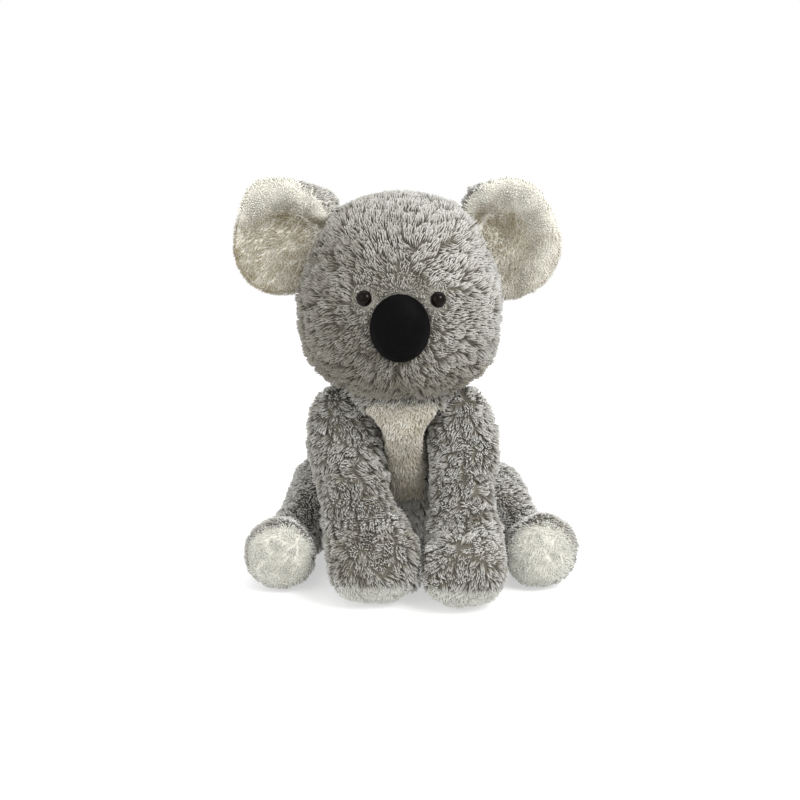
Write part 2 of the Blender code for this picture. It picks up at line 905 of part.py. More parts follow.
def washer_level():
    """How far out of the face the washer's outer side lies: pressed into the plush's back."""
    return WASHER_BITE - PLUSH_THICKNESS


def shank_tip_level():
    return -EYE_SEAT + PART_GAP - EYE_SHANK_LENGTH


def make_eye(side, joint):
    """A domed eye on a ridged shank, and the washer pressed on the shank behind the skin."""
    frame = on_face(SIDES[side] * EYE_SPREAD, EYE_RISE)
    base = -EYE_SEAT + PART_GAP
    profile = [(0.0, base + EYE_DOME)]
    for step in range(1, END_RINGS + 1):
        angle = math.pi / 2.0 * step / END_RINGS
        profile.append((EYE_RADIUS * math.sin(angle), base + EYE_DOME * math.cos(angle)))
    tip = shank_tip_level()
    pitch = (base - tip) / (EYE_RIDGES + 1)
    profile.append((EYE_SHANK_RADIUS, base))
    for ridge in range(1, EYE_RIDGES + 1):
        level = base - pitch * ridge
        profile.append((EYE_SHANK_RADIUS, level + EYE_RIDGE))
        profile.append((EYE_SHANK_RADIUS + EYE_RIDGE, level))
        profile.append((EYE_SHANK_RADIUS, level - EYE_RIDGE))
    profile.append((EYE_SHANK_RADIUS / 2.0, tip))
    profile.append((0.0, tip))
    name = side + "_eye"
    placed(name, turned_mesh(name, profile, frame, SMALL_SEGMENTS), joint, dark_gloss)

    level = washer_level()
    under = level - WASHER_THICKNESS
    outline = [
        (0.0, level),
        (WASHER_RADIUS, level),
        (WASHER_RADIUS, under),
        (WASHER_COLLAR_RADIUS, under),
        (WASHER_COLLAR_RADIUS, under - WASHER_COLLAR),
        (0.0, under - WASHER_COLLAR),
    ]
    name = side + "_eye_washer"
    washer = placed(
        name, turned_mesh(name, outline, frame, SMALL_SEGMENTS), joint, white_plastic
    )
    bore_radius = EYE_SHANK_RADIUS + EYE_RIDGE + PART_GAP
    bore = [(0.0, OVERRUN), (bore_radius, OVERRUN), (bore_radius, -OVERRUN), (0.0, -OVERRUN)]
    name += "_bore_cutter"
    cut_by(washer, placed(name, turned_mesh(name, bore, frame, SMALL_SEGMENTS), joint))


def make_nose(joint):
    """A satin cap, open at the back where it is sewn on, over its own padding."""
    cap = placed("nose_cap", form_mesh("nose_cap", nose_form(0.0)), joint, black_satin)
    name = "nose_cap_hollow"
    hollow = placed(name, form_mesh(name, nose_form(SATIN_THICKNESS)), joint)
    seat = on_face(0.0, -NOSE_DROP).translation
    back = Matrix.Translation((seat.x, seat.y + NOSE_SEAT + NOSE_BACK / 2.0, seat.z))
    turn = Matrix.Rotation(math.pi / 2.0, 4, "X")
    reach = NOSE_HALF_HEIGHT + OVERRUN
    opening = box_cutter(
        "nose_back_cutter", back @ turn, reach, reach, 0.0, -OVERRUN, joint
    )
    cut_by(cap, hollow, opening)
    padding = form_mesh("nose_padding", nose_form(SATIN_THICKNESS + PART_GAP))
    placed("nose_padding", padding, joint, fibre_filling)


def make_head():
    joint = joint_empty("neck_joint", neck_point(), ROOT)
    form = head_form()
    neck = ball_cutter("neck_socket", neck_point(), NECK_RADIUS + SEAM_GAP, joint)
    cuts = [neck, *eye_cutters(joint)]
    skin("head_skin", form, head_sockets, cuts, joint, grey_plush)
    filling("head_filling", form, head_sockets, joint, cuts)
    make_nose(joint)
    for side in SIDES:
        make_eye(side, joint)
        make_ear(side, joint)


def main():
    global ROOT
    clear_scene()
    ROOT = joint_empty("koala", (PLACE_X, PLACE_Y, 0.0))
    floor = floor_cutter()
    arms = {side: arm_form(side) for side in SIDES}
    legs = {side: leg_form(side) for side in SIDES}
    make_torso(floor, arms, legs)
    make_head()
    for side in SIDES:
        make_arm(side, arms[side], floor)
        make_leg(side, legs[side], floor)


main()
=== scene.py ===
import json
import math

import bpy
import numpy as np
from bpy.props import FloatProperty, FloatVectorProperty, PointerProperty
from mathutils import Matrix, Vector
from mathutils.bvhtree import BVHTree
from mathutils.kdtree import KDTree

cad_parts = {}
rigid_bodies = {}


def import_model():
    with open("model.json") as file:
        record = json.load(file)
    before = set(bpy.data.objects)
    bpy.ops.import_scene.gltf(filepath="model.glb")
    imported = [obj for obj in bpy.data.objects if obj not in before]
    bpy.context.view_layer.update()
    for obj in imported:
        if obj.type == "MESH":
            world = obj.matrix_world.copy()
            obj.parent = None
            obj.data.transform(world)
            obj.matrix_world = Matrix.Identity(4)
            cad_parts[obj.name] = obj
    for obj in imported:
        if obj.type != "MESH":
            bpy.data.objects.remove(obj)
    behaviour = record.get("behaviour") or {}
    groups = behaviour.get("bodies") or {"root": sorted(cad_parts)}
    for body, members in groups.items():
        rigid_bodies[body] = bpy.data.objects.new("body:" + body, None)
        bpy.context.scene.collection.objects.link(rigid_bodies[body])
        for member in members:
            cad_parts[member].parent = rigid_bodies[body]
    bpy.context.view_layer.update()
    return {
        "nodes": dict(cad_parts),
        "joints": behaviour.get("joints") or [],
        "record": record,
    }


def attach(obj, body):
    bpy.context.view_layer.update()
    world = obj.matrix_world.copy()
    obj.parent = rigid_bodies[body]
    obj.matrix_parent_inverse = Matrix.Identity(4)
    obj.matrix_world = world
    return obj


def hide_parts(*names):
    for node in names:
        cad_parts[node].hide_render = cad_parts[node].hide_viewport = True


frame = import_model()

bl_info = {
    "name": "Plush koala",
    "version": (1, 0, 0),
    "blender": (4, 5, 0),
    "location": "View3D > Sidebar > Koala",
    "description": "Fur, ears, nose, eyes and studio for a seated plush koala",
    "category": "Object",
}

MM = 0.001
CLOTH_INSET = 5.4 * MM
UP = np.array([0.0, 0.0, 1.0])
GRAIN = 9.0 * MM
PARTING_SEED = 60
SEEDS = {"head": 11, "torso": 21, "left_arm": 31, "right_arm": 34, "left_leg": 51, "right_leg": 54}
FLATNESS = {"head": 1.3, "torso": 1.5, "arm": 1.9, "leg": 1.6}
SIDES = {"left": -1.0, "right": 1.0}


def sided(left, right):
    return {"left": np.array(left), "right": np.array(right)}


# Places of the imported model, in metres
HEAD_CENTRE = np.array([-0.0033, -0.0025, 0.1955])
HEAD_HALF = np.array([0.069, 0.064, 0.069])
NOSE_BRIDGE = np.array([-0.0033, -0.0790, 0.2030])
EYE_PLACES = sided((-0.0273, -0.0615, 0.2117), (0.0213, -0.0615, 0.2109))
EYE_WAYS = sided((-0.3264, -0.9246, 0.1972), (0.3264, -0.9246, 0.1972))
EYE_RADIUS = 5.15 * MM
SHOULDERS = sided((-0.0433, -0.0045, 0.104), (0.0367, -0.0045, 0.104))
PAWS = sided((-0.0228, -0.0695, 0.026), (0.0370, -0.0765, 0.026))
HIPS = sided((-0.0543, 0.0475, 0.0325), (0.0577, 0.0475, 0.0325))
FEET = sided((-0.0857, -0.0485, 0.026), (0.0915, -0.0455, 0.026))
EAR_ROOTS = sided((-0.06013, 0.0095, 0.22445), (0.05248, 0.0095, 0.22642))
EAR_WAYS = sided((-0.89101, 0.0, 0.45399), (0.87462, 0.0, 0.48481))

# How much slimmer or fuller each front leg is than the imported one, and how much longer its pile
ARM_SLIM = {"left": 0.0, "right": 3.0 * MM}
PAW_TUFT = {"left": 0.5, "right": 0.0}
PAW_INNER = {"left": 6.0 * MM, "right": 0.4 * MM}
PAW_OUTER = {"left": 2.5 * MM, "right": 4.0 * MM}
ARM_OUT = {"left": 2.0 * MM, "right": 4.0 * MM}
SHOULDER_LIFT = {"left": 6.5 * MM, "right": 6.0 * MM}
# Heights of the creases across each front leg
CREASES = {
    "left": (0.036, 0.048, 0.064, 0.077, 0.090),
    "right": (0.034, 0.046, 0.060, 0.074, 0.088),
}

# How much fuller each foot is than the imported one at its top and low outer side, and how much
# slimmer the haunch
FOOT_TOP = {"left": 1.5 * MM, "right": 4.0 * MM}
HAUNCH_SLIM = {"left": 0.0, "right": 7.0 * MM}
FOOT_LOW = {"left": 1.2 * MM, "right": 1.5 * MM}
# How far the grey pile comes round the rim of each sole
SOLE_RIM = {"left": 0.10, "right": 0.36}
EAR_REACH = {"left": 0.022, "right": 0.018}
# The hollow of each ear: its place across and up from the ear's middle, its half sizes and depth; the
# lining's pile is darkened over it as well, painted shade
EAR_HOLLOWS = {
    "left": (-0.0044, 0.0098, 0.0190, 0.0085, 0.0060),
    "right": (-0.0080, 0.0072, 0.0150, 0.0130, 0.0060),
}
# The rolled edge of each ear as places across and up, seen from the front; the lining's pile is paler
# along it, a painted highlight
EAR_ROLLS = {
    "left": (
        (-0.1078, 0.2522), (-0.0950, 0.2602), (-0.0777, 0.2642), (-0.0633, 0.2602), (-0.0528, 0.2518)),
    "right": (
        (0.0568, 0.2640), (0.0686, 0.2675), (0.0819, 0.2650), (0.0927, 0.2574), (0.0965, 0.2471),
        (0.0950, 0.2305), (0.0901, 0.2154)),
}
# Where the grey back shows past the roll: angles up from the ear's outer side, and how far out
EAR_BACK_SHOWN = (1.75, 2.00, 2.25, 2.50, 2.90)
EAR_BACK_FROM = (0.0400, 0.0382, 0.0348, 0.0327, 0.0310)
# Small folds of the ears: place across and up, half sizes, push to the front, and how much paler or
# darker their pile is: painted highlights on the crests and painted shadows under them
EAR_FOLDS = {
    "left": (
        (-0.0550, 0.2512, 0.0080, 0.0045, 4.5 * MM, 0.45),
        (-0.0600, 0.2435, 0.0110, 0.0035, -2.5 * MM, -0.60)),
    "right": (
        (0.0500, 0.2440, 0.0035, 0.0085, -2.0 * MM, -0.60),
        (0.0790, 0.2530, 0.0060, 0.0030, 2.0 * MM, 0.30)),
}
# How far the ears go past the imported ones, and how far the pale lining goes over the edge
EAR_LIFT = 6.0 * MM
EAR_CORNER = {"left": 3.0 * MM, "right": -1.5 * MM}
EAR_SLOPE = {"left": 2.4 * MM, "right": 1.5 * MM}
EAR_FULL = {"left": 3.2 * MM, "right": 0.6 * MM}
EAR_PALER = {"left": 0.0, "right": 2.4 * MM}
EAR_ROLL = {"left": 3.8 * MM, "right": 2.8 * MM}
EAR_LOBE = {"left": 0.5 * MM, "right": 5.6 * MM}
# How much paler the rim of each ear is, painted light, and how much darker its lower half
EAR_RIM_LIGHT = {"left": 0.05, "right": 0.18}
EAR_LOW = {"left": 0.54, "right": 0.38}

# Rows of tone that locks are sorted into
TONES = 32


# Settings


class KOALA_PG_fur(bpy.types.PropertyGroup):
    """Sizes of the pile"""

    pile: FloatProperty(
        name="Grey pile", description="Length of the long grey pile",
        default=9.5 * MM, unit="LENGTH")
    short_pile: FloatProperty(
        name="Pale pile", description="Length of the short pale pile",
        default=6.0 * MM, unit="LENGTH")
    spacing: FloatProperty(
        name="Spacing", description="Mean distance between two locks",
        default=1.15 * MM, unit="LENGTH")
    clump: FloatProperty(
        name="Clump", description="Mean distance between two clumps",
        default=5.5 * MM, unit="LENGTH")
    thickness: FloatProperty(
        name="Lock radius", description="Radius of a lock at its root",
        default=0.36 * MM, unit="LENGTH")
    sink: FloatProperty(
        name="Backing depth", description="Depth of the backing cloth below the outline of the pile",
        default=2.6 * MM, unit="LENGTH")
    voxel: FloatProperty(
        name="Cloth grain", description="Edge length of the backing cloth's mesh",
        default=2.6 * MM, unit="LENGTH")


class KOALA_PG_colours(bpy.types.PropertyGroup):
    """Colours of the cloths"""

    grey_root: FloatVectorProperty(
        name="Grey root", description="Grey pile at the root", subtype="COLOR",
        default=(0.190, 0.174, 0.140))
    grey_dark: FloatVectorProperty(
        name="Grey dark tip", description="Tips of the darkest grey locks", subtype="COLOR",
        default=(0.31, 0.284, 0.222))
    grey_light: FloatVectorProperty(
        name="Grey light tip", description="Tips of the palest grey locks", subtype="COLOR",
        default=(0.80, 0.805, 0.79))
    cream_root: FloatVectorProperty(
        name="Pale root", description="Pale pile at the root", subtype="COLOR",
        default=(0.64, 0.622, 0.55))
    cream_dark: FloatVectorProperty(
        name="Pale dark tip", description="Tips of the darkest pale locks", subtype="COLOR",
        default=(0.40, 0.338, 0.218))
    cream_light: FloatVectorProperty(
        name="Pale light tip", description="Tips of the palest locks", subtype="COLOR",
        default=(0.92, 0.925, 0.90))
    sole_root: FloatVectorProperty(
        name="Sole root", description="Pile of soles and pads at the root", subtype="COLOR",
        default=(0.55, 0.55, 0.50))
    sole_dark: FloatVectorProperty(
        name="Sole dark tip", description="Tips of the darkest locks on soles and pads", subtype="COLOR",
        default=(0.50, 0.495, 0.44))
    sole_light: FloatVectorProperty(
        name="Sole light tip", description="Tips of the palest locks on soles and pads", subtype="COLOR",
        default=(0.86, 0.87, 0.82))
    satin: FloatVectorProperty(
        name="Nose satin", description="Satin of the nose", subtype="COLOR",
        default=(0.0026, 0.0026, 0.0028))
    eye: FloatVectorProperty(
        name="Eye", description="Moulded eye", subtype="COLOR",
        default=(0.0042, 0.0026, 0.0018))


class KOALA_PG_stage(bpy.types.PropertyGroup):
    """Camera and light"""

    lens: FloatProperty(
        name="Lens", description="Focal length in millimetres", default=70.0)
    elevation: FloatProperty(
        name="Elevation", description="How far the camera looks down",
        default=math.radians(19.0), subtype="ANGLE")
    distance: FloatProperty(
        name="Distance", description="Camera to the point it looks at",
        default=1.10, unit="LENGTH")
    target: FloatVectorProperty(
        name="Target", description="Point the camera looks at",
        default=(-0.0038, 0.0175, 0.1159), unit="LENGTH")
    key: FloatProperty(name="Key light", description="Power of the key light", default=17.0)
    fill: FloatProperty(name="Fill light", description="Power of the fill light", default=5.0)
    world: FloatProperty(name="Room light", description="Strength of the even light", default=1.12)


# Materials


class Term:
    """A value in a material's tree, so that its sums read as ordinary ones"""

    def __init__(self, tree, socket):
        self.tree = tree
        self.socket = socket

    def made(self, kind, output=0, inputs=None, **settings):
        node = self.tree.nodes.new(kind)
        for key, value in settings.items():
            setattr(node, key, value)
        for key, value in (inputs or {}).items():
            if isinstance(value, Term):
                self.tree.links.new(value.socket, node.inputs[key])
            else:
                node.inputs[key].default_value = value
        return Term(self.tree, node.outputs[output])

    def maths(self, operation, *values):
        inputs = dict(enumerate((self, *values)))
        return self.made("ShaderNodeMath", inputs=inputs, operation=operation)

    def __add__(self, other):
        return self.maths("ADD", other)

    def __radd__(self, other):
        return self.maths("ADD", other)

    def __sub__(self, other):
        return self.maths("SUBTRACT", other)

    def __rsub__(self, other):
        return (self * -1.0) + other

    def __mul__(self, other):
        return self.maths("MULTIPLY", other)

    def __rmul__(self, other):
        return self.maths("MULTIPLY", other)

    def __truediv__(self, other):
        return self.maths("DIVIDE", other)

    def length(self):
        """The length of this vector"""
        return self.made("ShaderNodeVectorMath", output="Value", inputs={0: self}, operation="LENGTH")

    def step(self, low, high):
        """0 below low, 1 above high and smooth between them"""
        return self.made(
            "ShaderNodeMapRange", interpolation_type="SMOOTHSTEP",
            inputs={"Value": self, "From Min": low, "From Max": high})

    def between(self, first, second):
        """The colour from first to second that lies at this value"""
        colours = [c if isinstance(c, Term) else (*c, 1.0) for c in (first, second)]
        return self.made(
            "ShaderNodeMix", output=2, data_type="RGBA",
            inputs={0: self, 6: colours[0], 7: colours[1]})

    def part(self, name):
        return self.made("ShaderNodeSeparateXYZ", output=name, inputs={0: self})

    def noise(self, scale, detail=3.0, roughness=0.5):
        return self.made(
            "ShaderNodeTexNoise",
            inputs={"Vector": self, "Scale": scale, "Detail": detail, "Roughness": roughness})

    def bump(self, strength, distance):
        return self.made(
            "ShaderNodeBump", inputs={"Height": self, "Strength": strength, "Distance": distance})


def new_material(name, **constants):
    """A material with its shader's plain values set, and that shader"""
    material = bpy.data.materials.new(name)
    material.use_nodes = True
    shader = material.node_tree.nodes["Principled BSDF"]
    for key, value in constants.items():
        shader.inputs[key.replace("_", " ")].default_value = value
    return material, shader


def coordinates(material, output):
    node = material.node_tree.nodes.new("ShaderNodeTexCoord")
    return Term(material.node_tree, node.outputs[output])


def attribute(material, name):
    node = material.node_tree.nodes.new("ShaderNodeAttribute")
    node.attribute_name = name
    return Term(material.node_tree, node.outputs["Fac"])


def feed(shader, **sockets):
    for key, term in sockets.items():
        term.tree.links.new(term.socket, shader.inputs[key.replace("_", " ")])


def pile_material(name, deep, root, dark, light, sheen):
    """Pile whose colour follows the lock: from root to tip along U, and by its tone along V"""
    material, shader = new_material(
        name, Roughness=0.88, Sheen_Weight=sheen, Sheen_Roughness=0.45, Specular_IOR_Level=0.25)
    place = coordinates(material, "UV")
    along = place.part("X")
    tone = (place.part("Y") * TONES).maths("FLOOR") / (TONES - 1.0)
    # Dark at the root and pale from 0.44 of the way along to the tip: the dark roots, darker still in the
    # darker rows of tone, are painted shade deep in the pile
    shade = along.step(0.0, 0.44)
    root_colour = tone.between(deep, root)
    tip_colour = tone.between(dark, light)
    feed(shader, Base_Color=shade.between(root_colour, tip_colour))
    return material


def backing_material(name, dark, pale):
    """Woven backing cloth, paler under the pale pile"""
    material, shader = new_material(name, Roughness=0.95, Specular_IOR_Level=0.2)
    place = coordinates(material, "Object")
    weave = place.noise(900.0, 2.0)
    mottle = place.noise(120.0, 3.0).step(0.3, 0.7)
    shade = attribute(material, "pale")
    ground = shade.between(dark, pale)
    deep = shade.between([c * 0.6 for c in dark], [c * 0.75 for c in pale])
    feed(shader, Base_Color=mottle.between(deep, ground), Normal=weave.bump(0.4, 0.0004))
    return material


# Mesh tools


def select_only(*objects):
    bpy.ops.object.select_all(action="DESELECT")
    for item in objects:
        item.select_set(True)
    bpy.context.view_layer.objects.active = objects[0]


def merged_copy(name, nodes):
    """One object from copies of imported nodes, its loose faces joined"""
    copies = []
    for node in nodes:
        item = bpy.data.objects.new(name, frame["nodes"][node].data.copy())
        bpy.context.scene.collection.objects.link(item)
        item.data.materials.clear()
        copies.append(item)
    select_only(*copies)
    if len(copies) > 1:
        bpy.ops.object.join()
    piece = bpy.context.view_layer.objects.active
    piece.name = name
    piece.data.name = name
    bpy.ops.object.mode_set(mode="EDIT")
    bpy.ops.mesh.select_all(action="SELECT")
    bpy.ops.mesh.remove_doubles(threshold=0.00001)
    bpy.ops.mesh.customdata_custom_splitnormals_clear()
    bpy.ops.object.mode_set(mode="OBJECT")
    return piece


def apply(piece, kind, **settings):
    modifier = piece.modifiers.new(kind.title(), kind)
    for key, value in settings.items():
        setattr(modifier, key, value)
    select_only(piece)
    bpy.ops.object.modifier_apply(modifier=modifier.name)


def points_of(mesh):
    values = np.empty(len(mesh.vertices) * 3)
    mesh.vertices.foreach_get("co", values)
    return values.reshape(-1, 3)


def put_points(mesh, values):
    mesh.vertices.foreach_set("co", values.reshape(-1))
    mesh.update()


def normals_of(mesh):
    values = np.empty(len(mesh.vertices) * 3)
    mesh.vertex_normals.foreach_get("vector", values)
    return values.reshape(-1, 3)


def unit(values):
    return values / np.maximum(np.linalg.norm(values, axis=-1, keepdims=True), 1e-12)


def across(values, normals):
    """The part of each value that lies in the surface"""
    return values - normals * np.sum(values * normals, axis=1, keepdims=True)


def smooth_step(values, low, high):
    share = np.clip((values - low) / (high - low), 0.0, 1.0)
    return share * share * (3.0 - 2.0 * share)


def hill(values, middle, half):
    """1 at the middle, falling smoothly to nearly 0 two halves away from it"""
    return np.exp(-(((values - middle) / half) ** 2))


def rested(heights):
    """Heights with what would go under the floor pressed flat on it"""
    low = 0.3 * MM
    return np.where(heights < low * 4.0, low + low * 3.0 * np.exp(heights / (low * 4.0) - 1.0), heights)


def lattice(cells, seed):
    """A fixed random number from 0 to 1 for each whole-numbered place"""
    x, y, z = (cells[:, i].astype(np.int64) for i in range(3))
    value = (x * 374761393 + y * 668265263 + z * 2147483647 + seed * 1274126177) & 0xFFFFFFFF
    value = ((value ^ (value >> 13)) * 1274126177) & 0xFFFFFFFF
    value = ((value ^ (value >> 16)) * 668265263) & 0xFFFFFFFF
    return (value ^ (value >> 15)).astype(float) / 0xFFFFFFFF


def soft_noise(points, size, seed):
    """Smooth noise from -1 to 1 with that distance between its bumps"""
    scaled = points / size
    cell = np.floor(scaled)
    share = scaled - cell
    share = share * share * (3.0 - 2.0 * share)
    total = np.zeros(len(points))
    for corner in range(8):
        offset = np.array([corner & 1, corner >> 1 & 1, corner >> 2 & 1])
        weight = np.prod(np.where(offset == 1, share, 1.0 - share), axis=1)
        total += weight * lattice(cell + offset, seed)
    return total * 2.0 - 1.0


def partings(points, size, flat, seed):
    """Winding lines where pile parts: how near each point is, from 0 to 1, and the way off the line"""
    ratio = np.array([1.0, 1.0, flat])
    field = soft_noise(points * ratio, size, seed)
    step = size * 0.06
    slope = np.stack(
        [soft_noise((points + step * way) * ratio, size, seed) - field for way in np.eye(3)], axis=1)
    slope /= step
    distance = np.abs(field) / (np.linalg.norm(slope, axis=1) + 1.0)
    broken = smooth_step(soft_noise(points, size * 0.7, seed + 9), -0.25, 0.30)
    near = hill(distance, 0.0, 1.5 * MM) * broken
    aside = unit(slope * np.sign(field)[:, None]) * (np.exp(-distance / (3.0 * MM)) * broken)[:, None]
    return near, aside


def furrow(points, flat, seed):
    """How far the cloth sinks under the lines where its pile parts"""
    near, _ = partings(points, GRAIN, flat, seed + PARTING_SEED)
    return near * 1.8 * MM


def noise_way(points, size, seed):
    return np.stack([soft_noise(points, size, seed + i) for i in range(3)], axis=1)


def tree_of(nodes):
    """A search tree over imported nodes, and for each of its faces the node's number"""
    points, faces, owner = [], [], []
    base = 0
    for number, node in enumerate(nodes):
        mesh = frame["nodes"][node].data
        points.append(points_of(mesh))
        mesh.calc_loop_triangles()
        corners = np.empty(len(mesh.loop_triangles) * 3, dtype=np.int32)
        mesh.loop_triangles.foreach_get("vertices", corners)
        faces.append(corners.reshape(-1, 3) + base)
        owner += [number] * (len(corners) // 3)
        base += len(mesh.vertices)
    tree = BVHTree.FromPolygons(np.concatenate(points).tolist(), np.concatenate(faces).tolist())
    return tree, np.array(owner)


def struck(tree, starts, ways, reach):
    """How far each ray goes before it meets the tree, or reach"""
    found = np.full(len(starts), reach)
    cast = tree.ray_cast
    for index, (start, way) in enumerate(zip(starts.tolist(), ways.tolist())):
        hit = cast(start, way, reach)
        if hit[3] is not None:
            found[index] = hit[3]
    return found


def finish_piece(piece, body, slot, *nodes, fill=None):
    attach(piece, body)
    if nodes:
        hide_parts(*nodes)


# Poses, so that the pile is left out only where nothing ever uncovers it

JOINTS = {joint["child"]: joint for joint in frame["joints"]}


def pose_of(body, end):
    """Where a body goes with every joint at rest (None) or at its low (0) or high (1) end"""
    placed = Matrix.Identity(4)
    while body in JOINTS:
        joint = JOINTS[body]
        if end is not None:
            low_high = joint.get("range_deg") or [0.0, 0.0]
            turn = Matrix.Rotation(math.radians(low_high[end]), 4, Vector(joint["axis"]))
            pivot = Matrix.Translation(Vector(joint["pos_m"]))
            placed = pivot @ turn @ pivot.inverted() @ placed
        body = joint["parent"]
    return placed


def moved(matrix, points, ways):
    turn = np.array(matrix.to_3x3())
    return points @ turn.T + np.array(matrix.translation), ways @ turn.T


# Pile


def lock_form():
    """One lock's corners as (across, up, along), its faces, and each corner's number in its ring"""
    bpy.ops.object.select_all(action="DESELECT")
    bpy.ops.mesh.primitive_cone_add(
        vertices=3, radius1=1.0, radius2=0.82, depth=0.42, location=(0.0, 0.0, 0.21))
    shape = bpy.context.active_object
    bpy.ops.object.mode_set(mode="EDIT")
    bpy.ops.mesh.select_mode(type="FACE")
    bpy.ops.mesh.select_all(action="DESELECT")
    bpy.ops.object.mode_set(mode="OBJECT")
    top = max(shape.data.polygons, key=lambda face: face.center.z)
    top.select = True
    bpy.ops.object.mode_set(mode="EDIT")
    bpy.ops.mesh.extrude_region_move(TRANSFORM_OT_translate={"value": (0.0, 0.0, 0.58)})
    bpy.ops.mesh.merge(type="CENTER")
    bpy.ops.object.mode_set(mode="OBJECT")
    corners = points_of(shape.data)
    faces = [tuple(face.vertices) for face in shape.data.polygons]
    mesh = shape.data
    bpy.data.objects.remove(shape)
    bpy.data.meshes.remove(mesh)
    turns = np.round(np.arctan2(corners[:, 1], corners[:, 0]) / (2.0 * math.pi / 3.0))
    rank = np.where(corners[:, 2] > 0.95, 0, turns)
    return corners, faces, rank


def scattered(mesh, spacing, seed):
    """Places spread evenly over a mesh: the point, the normal and the face of each"""
    mesh.calc_loop_triangles()
    count = len(mesh.loop_triangles)
    corners = np.empty(count * 3, dtype=np.int32)
    mesh.loop_triangles.foreach_get("vertices", corners)
    corners = corners.reshape(-1, 3)
    points = points_of(mesh)
    normals = normals_of(mesh)
    a, b, c = (points[corners[:, i]] for i in range(3))
    area = np.linalg.norm(np.cross(b - a, c - a), axis=1) / 2.0
    picker = np.random.default_rng(seed)
    tries = int(area.sum() / spacing**2 * 7.0)
    face = picker.choice(count, size=tries, p=area / area.sum())
    u = np.sqrt(picker.random(tries))
    v = picker.random(tries)
    weights = np.stack([1.0 - u, u * (1.0 - v), u * v], axis=1)[:, :, None]
    places = np.sum(points[corners[face]] * weights, axis=1)
    ways = unit(np.sum(normals[corners[face]] * weights, axis=1))
    cells = np.floor(places / (spacing * 1.22)).astype(np.int64)
    keys = (cells[:, 0] * 73856093) ^ (cells[:, 1] * 19349663) ^ (cells[:, 2] * 83492791)
    _, first = np.unique(keys, return_index=True)
    first = np.sort(first)
    return places[first], ways[first]


def nearest(points, centres):
    tree = KDTree(len(centres))
    for index, place in enumerate(centres.tolist()):
        tree.insert(place, index)
    tree.balance()
    find = tree.find
    return np.array([find(place)[1] for place in points.tolist()])


